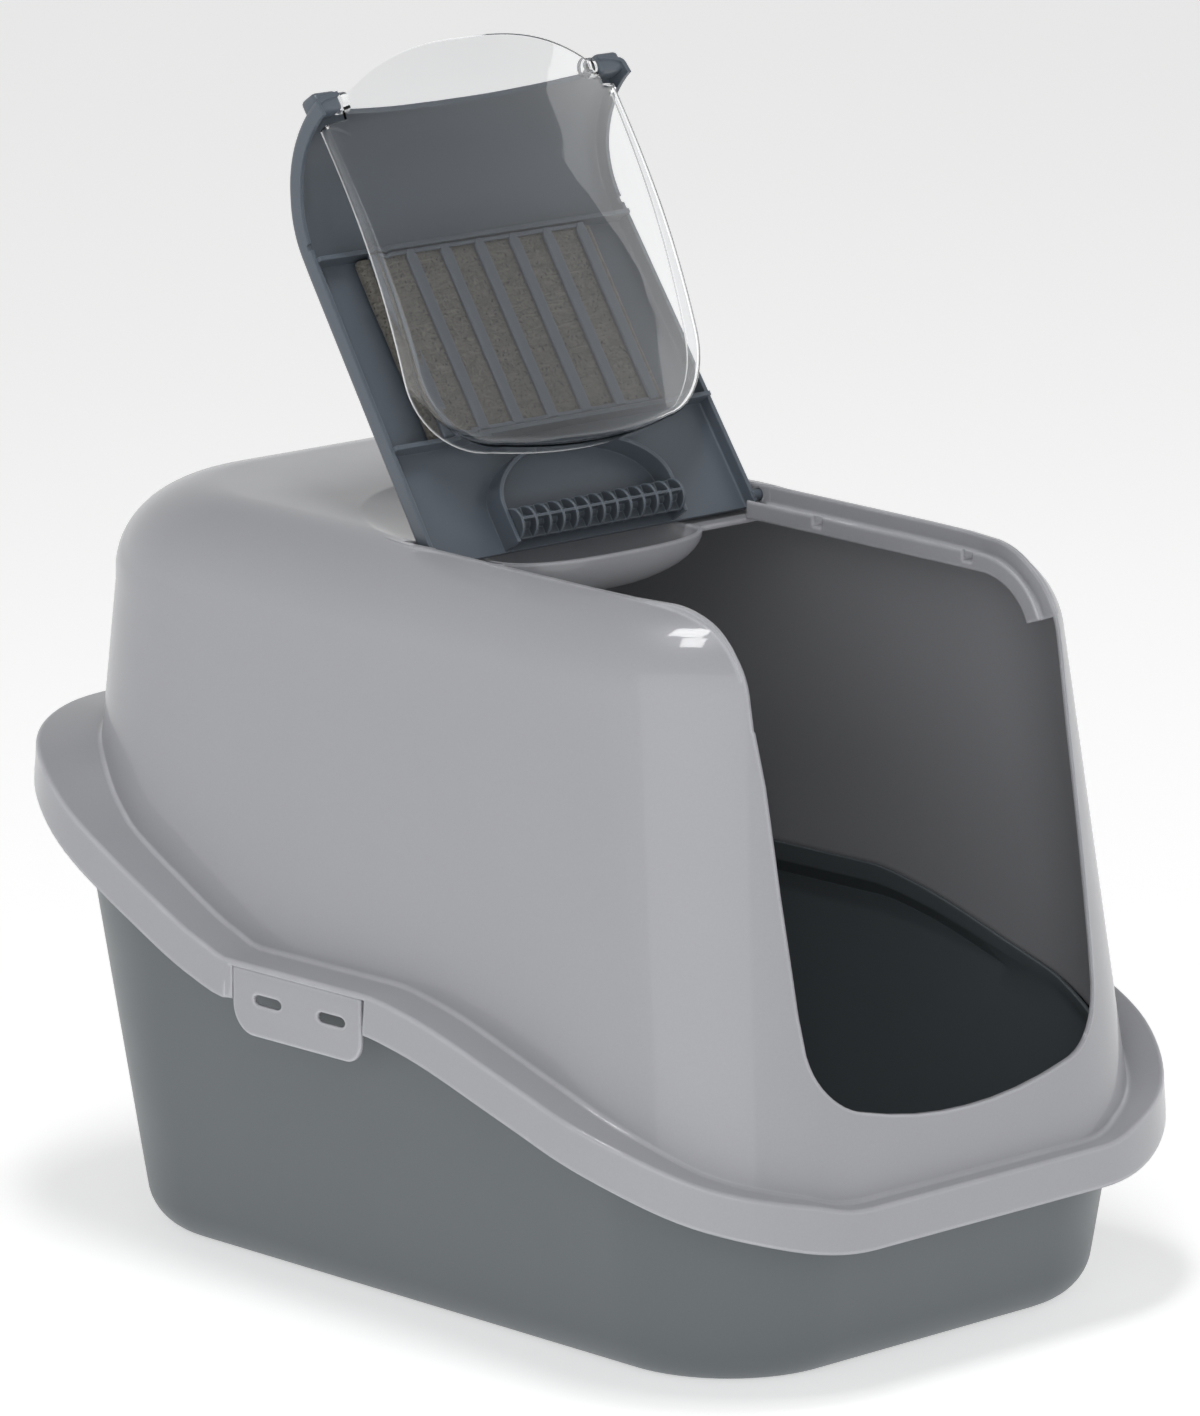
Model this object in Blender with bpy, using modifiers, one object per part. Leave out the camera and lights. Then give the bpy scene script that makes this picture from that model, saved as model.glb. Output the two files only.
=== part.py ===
"""Hooded cat litter box: tray, hood, flip-up lid with filter and clear door flap, two side clips.

Metres, +Z up. Origin on the floor under the middle of the footprint, front towards -Y.
The lid is modelled closed and flat in its hinge's frame, and the door hanging straight down in its
pivots' frame. The two empties then turn them to the stored pose: lid open, leaning back.
"""
import math

import bmesh
import bpy
from mathutils import Matrix, Vector

# ---- overall sizes
LENGTH, WIDTH = 0.560, 0.390
WALL = 0.0025
GAP = 0.0003
SEAT_GAP = 0.0018

# ---- outlines in plan: half width, front y, rear y, corner radius
FLANGE = (WIDTH / 2, -LENGTH / 2, LENGTH / 2, 0.115)
TRAY_FOOT = (0.1477, -0.2457, 0.2177, 0.0727)
TRAY_DRAFT = 0.157
TRAY_FILLET = 0.020
BODY_LOW = (0.1720, -0.2620, 0.2640, 0.105)
BODY_HIGH = (0.1580, -0.2385, 0.2540, 0.110)
BODY_LOW_Z, BODY_HIGH_Z = 0.140, 0.334
SIDE_STEPS, CORNER_STEPS, END_STEPS = 11, 7, 3

# ---- parting line: height of the flange's lower edge along the box, front to rear
PARTING_LINE = (
    (-0.280, 0.0715), (-0.264, 0.0810), (-0.240, 0.0915), (-0.200, 0.1090), (-0.130, 0.1315),
    (-0.062, 0.1500), (-0.036, 0.1535), (0.062, 0.1535), (0.088, 0.1600), (0.140, 0.1830),
    (0.190, 0.2085), (0.235, 0.2290), (0.280, 0.2390),
)
SKIRT = 0.0200
ROOF_MID_Z, ROOF_SLOPE = 0.3815, 0.020
SHOULDER_SIDE, SHOULDER_FRONT, SHOULDER_TALL = 0.052, 0.044, 0.046

# ---- opening, lid pocket and its ledges
POCKET_REAR_Y, POCKET_LOW_Z, SHOULDER_TOE_Y = 0.0142, 0.3215, -0.2205
POCKET_HALF, STUB_RADIUS = 0.1165, 0.0030
POCKET_EDGE = ((POCKET_REAR_Y, POCKET_HALF), (-0.125, POCKET_HALF), (-0.152, 0.1152), (-0.176, 0.1108), (-0.198, 0.1078))
DOORWAY_SILL_Z = 0.1250
DOORWAY_EDGE = ((0.1077, 0.3260), (0.1056, 0.2950), (0.1046, 0.2420), (0.1025, 0.1850), (0.1008, 0.1660))
LEDGE_DEPTH, RAIL_TOP_DEPTH, RAIL_LOW_DEPTH = 0.0105, 0.0067, 0.0160
LEDGE_IN, RAIL_OUT = 0.1016, 0.1033
RECESS_RADIUS, RECESS_DEPTH = 0.118, 0.006
BOWL_HALF, BOWL_REACH, BOWL_DEPTH, BOWL_Y, BOWL_RIM_Z = 0.0670, 0.0290, 0.0220, 0.0040, 0.3660

# ---- lid, in its hinge's frame: s runs from the hinge to the front, depth runs down from the hinge
HINGE = Vector((0.0, 0.0, 0.3750))
LID_OPEN = math.radians(-123.6)
LID_HALF, LID_HALF_MID, LID_HALF_TIP, LID_BACK = 0.1120, 0.1083, 0.1062, -0.0040
LID_TOP, LID_RIM, LID_WALL = -0.0075, 0.0020, 0.0024
LID_FRONT, LID_FRONT_SIDE, LID_CURL = 0.2400, 0.2310, 0.0620
LID_EDGE_MID, LID_EDGE_SIDE, LID_TIP, ARM_SHARE = 0.0210, 0.0318, 0.0455, 0.842
RIB_S, RIB_THICK, RIB_DEPTH = (0.0570, 0.1620), 0.0024, 0.0048
PAD_HALF, PAD_THICK = 0.0800, 0.0066
BAR_COUNT, BAR_PITCH, BAR_WIDTH, BAR_THICK = 7, 0.0235, 0.0068, 0.0019
GRIP_S, GRIP_DEPTH, GRIP_RADIUS, GRIP_HALF, DISC_COUNT = 0.0066, 0.0042, 0.0085, 0.0565, 13
RING_HALF, RING_CENTRE, RING_REACH, RING_DEPTH = 0.0590, 0.0165, 0.0315, 0.0065
EAR_X, EAR_S, EAR_DEPTH = (0.0888, 0.1050), (0.2235, 0.2345), (0.0330, 0.0450)

# ---- door flap, in its pivots' frame: hangs down -Z, outward is -Y
PIVOT_S, PIVOT_DEPTH = 0.2290, 0.0390
DOOR_HANG = math.radians(-26.0)
DOOR_THICK, DOOR_HALF, DOOR_TALL, DOOR_ARCH = 0.0020, 0.1000, 0.1940, 0.0225
DOOR_BULGE, DOOR_RIM = 0.0160, 0.0070
PIN_RADIUS, PIN_HOLE, LUG_X = 0.0022, 0.0026, (0.0825, 0.0875)

# ---- side clips
CLIP_Y, CLIP_TOP, CLIP_LOW = (-0.0362, 0.0580), 0.1685, 0.1370
CLIP_X, CLIP_RADIUS = (0.1906, 0.1930), (0.0110, 0.0150)
SLOT_SIZE, SLOT_Y, SLOT_Z = (0.0205, 0.0052), (-0.0144, 0.0325), 0.1560


# ---- scene and materials
for old in list(bpy.data.objects):
    bpy.data.objects.remove(old, do_unlink=True)

parts = bpy.data.collections.new("cat_litter_box")
cutters = bpy.data.collections.new("cutters")
bpy.context.scene.collection.children.link(parts)
bpy.context.scene.collection.children.link(cutters)
cutters.hide_render = True


def material(name, color, roughness, transmission=0.0):
    made = bpy.data.materials.new(name)
    made.use_nodes = True
    shader = made.node_tree.nodes["Principled BSDF"]
    shader.inputs["Base Color"].default_value = (*color, 1.0)
    shader.inputs["Roughness"].default_value = roughness
    shader.inputs["Metallic"].default_value = 0.0
    shader.inputs["Transmission Weight"].default_value = transmission
    return made


HOOD_GREY = material("hood_grey", (0.36, 0.365, 0.385), 0.28)
TRAY_GREY = material("tray_slate", (0.125, 0.145, 0.155), 0.42)
LID_SLATE = material("lid_slate", (0.095, 0.115, 0.140), 0.38)
CLEAR = material("door_clear", (0.92, 0.93, 0.94), 0.05, 0.95)
FILTER_FELT = material("filter_felt", (0.13, 0.12, 0.105), 0.95)


# ---- mesh helpers
def new_object(name, points, faces, finish=None):
    mesh = bpy.data.meshes.new(name)
    mesh.from_pydata([tuple(p) for p in points], [], faces)
    bm = bmesh.new()
    bm.from_mesh(mesh)
    if all(edge.is_manifold for edge in bm.edges) and bm.calc_volume(signed=True) < 0.0:
        bmesh.ops.reverse_faces(bm, faces=bm.faces)
    bm.to_mesh(mesh)
    bm.free()
    return add(name, mesh, finish)


def add(name, mesh, finish):
    """A part when it has a finish, otherwise a hidden shape for a Boolean."""
    obj = bpy.data.objects.new(name, mesh)
    if finish:
        mesh.materials.append(finish)
        parts.objects.link(obj)
        mesh.shade_smooth()
        mesh.set_sharp_from_angle(angle=math.radians(35))
    else:
        cutters.objects.link(obj)
        obj.hide_render = True
        obj.display_type = "WIRE"
    return obj


def loft(name, rings, finish=None, cap_start=True, cap_end=True):
    """Closed rings of equal point count, skinned one to the next."""
    count = len(rings[0])
    points = [p for ring in rings for p in ring]
    faces = []
    for j in range(len(rings) - 1):
        for k in range(count):
            n = (k + 1) % count
            faces.append((j * count + k, j * count + n, (j + 1) * count + n, (j + 1) * count + k))
    if cap_start:
        faces.append(tuple(reversed(range(count))))
    if cap_end:
        faces.append(tuple((len(rings) - 1) * count + k for k in range(count)))
    return new_object(name, points, faces, finish)


def grid(name, rows, finish=None):
    """Open sheet from rows of equal point count."""
    count = len(rows[0])
    points = [p for row in rows for p in row]
    faces = []
    for j in range(len(rows) - 1):
        for k in range(count - 1):
            faces.append((j * count + k, j * count + k + 1, (j + 1) * count + k + 1, (j + 1) * count + k))
    return new_object(name, points, faces, finish)


def box(name, low, high, finish=None):
    """Axis-aligned block between two corners."""
    bm = bmesh.new()
    bmesh.ops.create_cube(bm, size=1.0)
    size = Vector(high) - Vector(low)
    bmesh.ops.scale(bm, vec=size, verts=bm.verts)
    bmesh.ops.translate(bm, vec=(Vector(high) + Vector(low)) / 2, verts=bm.verts)
    return finish_bmesh(name, bm, finish)


def rod(name, radius, x_range, y, z, sides=20, finish=None):
    """Cylinder along X."""
    bm = bmesh.new()
    bmesh.ops.create_cone(bm, cap_ends=True, segments=sides, radius1=radius, radius2=radius,
                          depth=x_range[1] - x_range[0])
    bmesh.ops.rotate(bm, matrix=Matrix.Rotation(math.pi / 2, 3, "Y"), verts=bm.verts)
    bmesh.ops.translate(bm, vec=(sum(x_range) / 2, y, z), verts=bm.verts)
    return finish_bmesh(name, bm, finish)


def finish_bmesh(name, bm, finish):
    mesh = bpy.data.meshes.new(name)
    bm.to_mesh(mesh)
    bm.free()
    return add(name, mesh, finish)


def prism_x(name, outline, x_range, finish=None):
    """An outline of (y, z) points extruded along X."""
    rings = [[(x, y, z) for y, z in outline] for x in x_range]
    return loft(name, rings, finish)


def boolean(obj, other, operation):
    step = obj.modifiers.new(f"{operation.lower()}_{other.name}", "BOOLEAN")
    step.operation = operation
    step.solver = "EXACT"
    step.object = other
    return obj


def join(obj, *others):
    for other in others:
        boolean(obj, other, "UNION")


def cut(obj, *others):
    for other in others:
        boolean(obj, other, "DIFFERENCE")


def solidify(obj, thickness, outward=False):
    step = obj.modifiers.new("wall", "SOLIDIFY")
    step.thickness = thickness
    step.offset = 1.0 if outward else -1.0
    step.use_even_offset = True


# ---- outlines and heights shared by the tray and the hood
def arc_steps(start, stop, steps):
    return [start + (stop - start) * k / steps for k in range(steps)]


def outline(half, front, rear, radius, grow=0.0):
    """Rounded rectangle, as (x, y), counterclockwise from the front end of the right side."""
    half, front, rear, radius = half + grow, front - grow, rear + grow, radius + grow
    corners = (
        ((half - radius, rear - radius), 0.0),
        ((radius - half, rear - radius), 90.0),
        ((radius - half, front + radius), 180.0),
        ((half - radius, front + radius), 270.0),
    )
    points = []
    previous = (half, front + radius)
    for number, ((cx, cy), turn) in enumerate(corners):
        steps = END_STEPS if number % 2 else SIDE_STEPS
        start = (cx + radius * math.cos(math.radians(turn)), cy + radius * math.sin(math.radians(turn)))
        points += [
            (previous[0] + (start[0] - previous[0]) * t, previous[1] + (start[1] - previous[1]) * t)
            for t in arc_steps(0.0, 1.0, steps)
        ]
        for angle in arc_steps(turn, turn + 90.0, CORNER_STEPS):
            a = math.radians(angle)
            points.append((cx + radius * math.cos(a), cy + radius * math.sin(a)))
        a = math.radians(turn + 90.0)
        previous = (cx + radius * math.cos(a), cy + radius * math.sin(a))
    return points


def parting_z(y):
    """Smooth curve through the parting line's points, with level ends."""
    line = PARTING_LINE
    y = min(max(y, line[0][0]), line[-1][0])
    k = max(i for i in range(len(line) - 1) if line[i][0] <= y)
    slopes = [(line[i + 1][1] - line[i][1]) / (line[i + 1][0] - line[i][0]) for i in range(len(line) - 1)]

    def tangent(i):
        before, after = slopes[max(i - 1, 0)], slopes[min(i, len(slopes) - 1)]
        return 0.0 if before * after <= 0.0 else 2.0 * before * after / (before + after)

    (y0, z0), (y1, z1) = line[k], line[k + 1]
    step = y1 - y0
    t = (y - y0) / step
    return (
        z0 * (1 + 2 * t) * (1 - t) ** 2
        + tangent(k) * step * t * (1 - t) ** 2
        + z1 * t * t * (3 - 2 * t)
        + tangent(k + 1) * step * t * t * (t - 1)
    )


def flange_y(x, y):
    """y of the flange's nearest edge: the same beside the flange's straight sides, its end's past them."""
    half, front, rear, radius = FLANGE
    centre = min(max(y, front + radius), rear - radius)
    away, across = y - centre, max(abs(x) - (half - radius), 0.0)
    return y if away == 0.0 else centre + radius * away / math.hypot(away, across)


def rim_z(x, y, rise):
    """Height over (x, y) of a surface this far above the parting line, measured square to the line."""
    y = flange_y(x, y)
    slope = (parting_z(y + 0.004) - parting_z(y - 0.004)) / 0.008
    return parting_z(y) + rise * math.sqrt(1.0 + slope * slope)


def blend(a, b, t):
    return tuple(p + (q - p) * t for p, q in zip(a, b))


def body_plan(z):
    t = (z - BODY_LOW_Z) / (BODY_HIGH_Z - BODY_LOW_Z)
    return blend(BODY_LOW, BODY_HIGH, max(-0.6, t))


def roof_z(y):
    return ROOF_MID_Z + ROOF_SLOPE * y


def flange_ring(grow, rise):
    return [(x, y, rim_z(x, y, rise)) for x, y in outline(*FLANGE, grow)]


def drafted_ring(plan_at, height):
    """Ring on a drafted wall: plan_at gives the outline at a height, and height gives z over (x, y)."""
    ring = []
    for k, (x, y) in enumerate(outline(*FLANGE)):
        for _ in range(4):
            z = height(x, y)
            x, y = outline(*plan_at(z))[k]
        ring.append((x, y, z))
    return ring


def body_ring(height, grow=0.0):
    return drafted_ring(lambda z: (*body_plan(z), grow), height)


def shoulder_ring(angle):
    a = math.radians(angle)
    inset = 1.0 - math.cos(a)
    half, front, rear, radius = BODY_HIGH
    plan = (
        half - SHOULDER_SIDE * inset,
        front + SHOULDER_FRONT * inset,
        rear - SHOULDER_SIDE * inset,
        radius - SHOULDER_TALL * inset,
    )
    drop = SHOULDER_TALL * (1.0 - math.sin(a))
    return [(x, y, roof_z(y) - drop) for x, y in outline(*plan)]


# ---- tray
def tray_ring(height, shift=0.0):
    return drafted_ring(lambda z: (*TRAY_FOOT, TRAY_DRAFT * z + shift), height)


def upstand_z(x, y):
    """Top of the tray's inner lip: tall beside the clips, low at the front."""
    return rim_z(x, y, 0.0265 - 0.0045 * min(max((-0.04 - y) / 0.14, 0.0), 1.0))


def make_tray():
    """One closed section carried round the box: up the outside, out and over the rim, down the inside."""
    seat = SKIRT - WALL - SEAT_GAP
    high, rim = seat - 0.0024, seat - 0.0095

    def wall_ring(part, shift=0.0):
        low = TRAY_FILLET * 0.95
        return tray_ring(lambda x, y: low + (rim_z(x, y, high) - low) * part, shift)

    rings = []
    for angle in (90, 65, 40, 15):
        a = math.radians(angle)
        z = TRAY_FILLET * (1.0 - math.sin(a))
        rings.append(tray_ring(lambda x, y, z=z: z, -TRAY_FILLET * 0.84 * (1.0 - math.cos(a))))
    rings += [wall_ring(part) for part in (0.12, 0.55, 1.0)]
    for grow, rise in ((-0.0073, high), (-0.0073, rim), (-0.0050, rim), (-0.0050, seat - 0.0010), (-0.0060, seat)):
        rings.append(flange_ring(grow, rise))
    rings.append(body_ring(lambda x, y: rim_z(x, y, seat), -0.0035))
    rings.append(body_ring(lambda x, y: rim_z(x, y, seat + 0.0020), -0.0045))
    rings.append(body_ring(upstand_z, -0.0045))
    rings.append(body_ring(upstand_z, -0.0045 - WALL))
    rings.append(body_ring(lambda x, y: rim_z(x, y, seat + 0.0010), -0.0045 - WALL))
    rings += [wall_ring(part, -WALL) for part in (0.96, 0.55, 0.12)]
    for angle in (15, 40, 65, 90):
        a = math.radians(angle)
        z = WALL + (TRAY_FILLET - WALL) * (1.0 - math.sin(a))
        shift = -WALL - (TRAY_FILLET - WALL) * 0.84 * (1.0 - math.cos(a))
        rings.append(tray_ring(lambda x, y, z=z: z, shift))
    return loft("tray", rings, TRAY_GREY)


# ---- hood
def side_profile(y):
    """Height of the hood's outer surface beside the pocket, at this y."""
    front, reach = SHOULDER_TOE_Y, 0.050
    if y >= front + reach:
        return roof_z(y)
    t = min((front + reach - y) / reach, 1.0)
    return roof_z(y) - SHOULDER_TALL * (1.0 - math.sqrt(1.0 - t * t))


def pocket_half(y):
    """Half width of the pocket at this y: wide beside the hinge, narrower at the front."""
    for (y0, half0), (y1, half1) in zip(POCKET_EDGE, POCKET_EDGE[1:]):
        if y >= y1:
            return half0 + (half1 - half0) * min(max((y0 - y) / (y0 - y1), 0.0), 1.0)
    return POCKET_EDGE[-1][1]


def side_strip(name, side):
    """Pocket wall, ledge and upstanding rail in one section, swept along the roof and down the shoulder."""
    y_stops = (
        -0.0064, -0.060, -0.125, -0.152, -0.176, -0.189, -0.198, -0.206, -0.212, -0.2155, -0.2178
    )
    rings = []
    for y in y_stops:
        here = Vector((y, side_profile(y)))
        ahead = Vector((y - 0.0004, side_profile(y - 0.0004)))
        along = (ahead - here).normalized()
        inward = Vector((-along.y, along.x))
        near = pocket_half(y) - 0.0002
        floor = LEDGE_DEPTH + WALL
        section = (
            (near + WALL, 0.0009), (near + WALL, floor), (RAIL_OUT, floor), (RAIL_OUT, RAIL_LOW_DEPTH),
            (LEDGE_IN, RAIL_LOW_DEPTH), (LEDGE_IN, RAIL_TOP_DEPTH), (RAIL_OUT, RAIL_TOP_DEPTH),
            (RAIL_OUT, LEDGE_DEPTH), (near, LEDGE_DEPTH), (near, 0.0009),
        )
        ring = []
        for x, depth in section:
            spot = here + inward * depth
            ring.append((side * x, spot.x, spot.y))
        rings.append(ring)
    return loft(name, rings)


def pocket_outline():
    """Plan outline of the lid's pocket, open at the front."""
    right = [(half, y) for y, half in POCKET_EDGE] + [(POCKET_EDGE[-1][1], -0.320)]
    return right + [(-x, y) for x, y in reversed(right)]


def doorway_outline():
    """Front view of the doorway: drafted sides and a rounded sill, as (x, z)."""
    right = list(DOORWAY_EDGE)
    corner_x, corner_z, corner_r = 0.0640, 0.1710, 0.0370
    for angle in (-20, -40, -58, -74):
        a = math.radians(angle)
        right.append((corner_x + corner_r * math.cos(a), corner_z + corner_r * math.sin(a)))
    right.append((0.040, DOORWAY_SILL_Z + 0.0038))
    right.append((0.0, DOORWAY_SILL_Z))
    return right + [(-x, z) for x, z in reversed(right[:-1])]


def squared(value, power=2.6):
    """Sine or cosine drawn towards a squarer oval."""
    return math.copysign(abs(value) ** (2.0 / power), value)


def half_bowl(name, grow, top):
    """Lower half of an oval dish, carried straight up to the height top."""
    rings = []
    for angle in (12, 32, 52, 72, 90):
        a = math.radians(angle)
        rings.append([
            (
                (BOWL_HALF + grow) * math.sin(a) * squared(math.cos(math.tau * k / 28)),
                BOWL_Y + (BOWL_REACH + grow) * math.sin(a) * squared(math.sin(math.tau * k / 28)),
                BOWL_RIM_Z - (BOWL_DEPTH + grow) * math.cos(a),
            )
            for k in range(28)
        ])
    rings.append([(x, y, top) for x, y, _ in rings[-1]])
    return loft(name, rings)


def recess_disc(name, grow, radius, drop, top):
    """Shallow dish that follows the roof's slope: a lens below it, straight sides above it."""
    rings = []
    for share in (0.15, 0.4, 0.65, 0.85, 1.0):
        rings.append([
            (
                radius * share * math.cos(math.tau * k / 40),
                radius * share * math.sin(math.tau * k / 40),
                roof_z(radius * share * math.sin(math.tau * k / 40)) - drop * (1.0 - share * share) - grow,
            )
            for k in range(40)
        ])
    rings.append([(x, y, roof_z(y) + top) for x, y, _ in rings[-1]])
    return loft(name, rings)


def make_hood():
    crest = SKIRT + 0.0005
    rings = [
        flange_ring(0.0, 0.0),
        flange_ring(-0.0010, SKIRT - 0.0055),
        flange_ring(-0.0022, SKIRT - 0.0018),
        flange_ring(-0.0050, SKIRT),
        body_ring(lambda x, y: rim_z(x, y, SKIRT) - 0.0004, 0.0036),
        body_ring(lambda x, y: rim_z(x, y, crest) + 0.0010, 0.0008),
        body_ring(lambda x, y: rim_z(x, y, crest) + 0.0050),
    ]
    for part in (0.30, 0.66, 1.0):
        rings.append(body_ring(
            lambda x, y, part=part: (rim_z(x, y, crest) + 0.005) * (1 - part) + part * BODY_HIGH_Z
        ))
    rings += [shoulder_ring(angle) for angle in (18, 36, 54, 72, 90)]
    hood = loft("hood", rings, HOOD_GREY, cap_start=False)
    solidify(hood, WALL)
    join(hood, recess_disc("recess_backing", WALL, RECESS_RADIUS + 0.002, RECESS_DEPTH, -0.0008))
    pocket = loft("pocket", [[(x, y, z) for x, y in pocket_outline()] for z in (POCKET_LOW_Z, 0.46)])
    cut(hood, pocket)
    for side, name in ((-1, "left"), (1, "right")):
        cheek = sorted((side * (POCKET_HALF - 0.0004), side * (POCKET_HALF + WALL)))
        join(
            hood,
            side_strip(f"pocket_side_{name}", side),
            box(f"hinge_cheek_{name}", (cheek[0], -0.0085, 0.3634), (cheek[1], 0.0163, 0.3808)),
        )
        socket = sorted((side * (POCKET_HALF - 0.002), side * (POCKET_HALF + 0.006)))
        cut(hood, rod(f"hinge_socket_{name}", STUB_RADIUS + 0.0004, socket, HINGE.y, HINGE.z, 16))
        for s in RIB_S:
            reach = sorted((side * (LEDGE_IN - 0.004), side * (lid_half(s) + 0.0015)))
            low = (reach[0], -s - 0.0032, roof_z(-s) - LEDGE_DEPTH - 0.0017)
            high = (reach[1], -s + 0.0032, 0.3850)
            cut(hood, box(f"notch_{name}_{int(s * 1e4)}", low, high))
    join(
        hood,
        box("hinge_beam", (-0.1180, -0.0060, 0.3630), (0.1180, 0.0160, 0.3655)),
        box("hinge_wall", (-0.1176, POCKET_REAR_Y, 0.3632), (0.1176, POCKET_REAR_Y + WALL, 0.3750)),
        half_bowl("bowl_outer", WALL, BOWL_RIM_Z),
    )
    cut(
        hood,
        recess_disc("recess", 0.0, RECESS_RADIUS, RECESS_DEPTH, 0.04),
        half_bowl("bowl_inner", 0.0, 0.42),
        loft("doorway", [[(x, y, z) for x, z in doorway_outline()] for y in (-0.350, -0.150)]),
    )
    for side, name in ((-1, "left"), (1, "right")):
        reach = sorted((side * 0.1905, side * 0.2050))
        low = (reach[0], CLIP_Y[0] - 0.0012, 0.1400)
        high = (reach[1], CLIP_Y[1] + 0.0012, CLIP_TOP + 0.0008)
        cut(hood, box(f"clip_gap_{name}", low, high))
    return hood


# ---- lid (closed, in the hinge's frame: Y = -s, Z = -depth)
def lid_half(s):
    middle = RIB_S[1]
    if s < middle:
        return LID_HALF + (LID_HALF_MID - LID_HALF) * max(s / middle, 0.0)
    return LID_HALF_MID + (LID_HALF_TIP - LID_HALF_MID) * min((s - middle) / 0.036, 1.0)


def lid_front(share):
    """How far forward the lid reaches, at this share of its half width."""
    return LID_FRONT + (LID_FRONT_SIDE - LID_FRONT) * abs(share) ** 2.2


def lid_end_depth(share):
    """Depth at which the front skin ends: an arch between the two arms."""
    if abs(share) >= ARM_SHARE:
        return LID_TIP
    return LID_EDGE_MID + (LID_EDGE_SIDE - LID_EDGE_MID) * min(abs(share) / (ARM_SHARE - 0.01), 1.0) ** 2.4


FLAT_ROWS, CURL_ROWS = 5, 9


def lid_profile(share, row, inset=0.0):
    """Point (s, depth) of the lid's outer surface moved inwards by inset, at one row."""
    front = lid_front(share)
    start = front - LID_CURL
    if row <= FLAT_ROWS:
        s = LID_BACK + (start - LID_BACK) * row / FLAT_ROWS
        return s, LID_TOP + inset
    last = math.acos(1.0 - (lid_end_depth(share) - LID_TOP) / LID_CURL)
    a = last * (row - FLAT_ROWS) / CURL_ROWS
    radius = LID_CURL - inset
    return start + radius * math.sin(a), LID_TOP + LID_CURL - radius * math.cos(a)


def make_lid_shell():
    right = (0.22, 0.45, 0.66, 0.78, ARM_SHARE - 0.01, ARM_SHARE, 0.92, 0.985, 1.0)
    shares = [-share for share in reversed(right)] + [0.0] + list(right)
    rows = []
    for row in range(FLAT_ROWS + CURL_ROWS + 1):
        line = []
        for share in (-1.0, -1.0):
            inset = LID_RIM - LID_TOP if not line else 0.0014
            s, depth = lid_profile(share, row, inset)
            line.append((share * lid_half(s), -s, -depth))
        for share in shares[1:-1]:
            s, depth = lid_profile(share, row)
            line.append((share * lid_half(s), -s, -depth))
        for inset in (0.0014, LID_RIM - LID_TOP):
            s, depth = lid_profile(1.0, row, inset)
            line.append((lid_half(s), -s, -depth))
        rows.append(line)
    lid = grid("lid", rows, LID_SLATE)
    mesh = lid.data
    up = sum(f.normal.z for f in mesh.polygons)
    if up < 0.0:
        mesh.flip_normals()
    solidify(lid, LID_WALL)
    return lid


def finger_ring(steps=20):
    """Arched wall on the lid's underside, open at the hinge, whose legs hold the grip's ends."""
    outer, inner = [], []
    for target, trim in ((outer, 0.0), (inner, 0.0022)):
        target.append((RING_HALF - trim, -LID_BACK - 0.0006))
        for k in range(steps + 1):
            a = math.pi * k / steps
            s = RING_CENTRE + (RING_REACH - trim) * math.sin(a)
            target.append(((RING_HALF - trim) * math.cos(a), -s))
        target.append((trim - RING_HALF, -LID_BACK - 0.0006))
    shape = outer + inner[::-1]
    return loft("finger_ring", [[(x, y, -d) for x, y in shape] for d in (LID_TOP + 0.001, RING_DEPTH)])


def place(obj, hinge):
    """Hangs a part, and the shapes that cut or join it, on the hinge whose frame it is modelled in."""
    obj.parent = hinge
    for step in obj.modifiers:
        if step.type == "BOOLEAN":
            step.object.parent = hinge
    return obj


def hinge_empty(name, location, angle, parent=None):
    empty = bpy.data.objects.new(name, None)
    parts.objects.link(empty)
    empty.location = location
    empty.rotation_euler = (angle, 0.0, 0.0)
    empty.parent = parent
    return empty


def make_lid(hinge):
    lid = make_lid_shell()
    for number, s in enumerate(RIB_S, 1):
        inner = lid_half(s) - LID_WALL + 0.0006
        low = (-inner, -s - RIB_THICK / 2, -RIB_DEPTH)
        high = (inner, -s + RIB_THICK / 2, -LID_TOP - 0.0010)
        join(lid, box(f"lid_rib_{number}", low, high))
    join(lid, finger_ring())
    for side in (-1, 1):
        reach_x = sorted((side * EAR_X[0], side * EAR_X[1]))
        low = (reach_x[0], -EAR_S[1], -EAR_DEPTH[1])
        high = (reach_x[1], -EAR_S[0], -EAR_DEPTH[0])
        label = "left" if side < 0 else "right"
        stub = sorted((side * (LID_HALF - 0.0018), side * (POCKET_HALF + 0.0012)))
        join(
            lid,
            box(f"lid_ear_{label}", low, high),
            rod(f"hinge_stub_{label}", STUB_RADIUS, stub, 0.0, 0.0, 16),
        )
        bore = sorted((side * (EAR_X[0] - 0.001), side * 0.0995))
        cut(lid, rod(f"pin_bore_{label}", PIN_HOLE, bore, -PIVOT_S, -PIVOT_DEPTH, 16))
    return place(lid, hinge)


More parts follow.
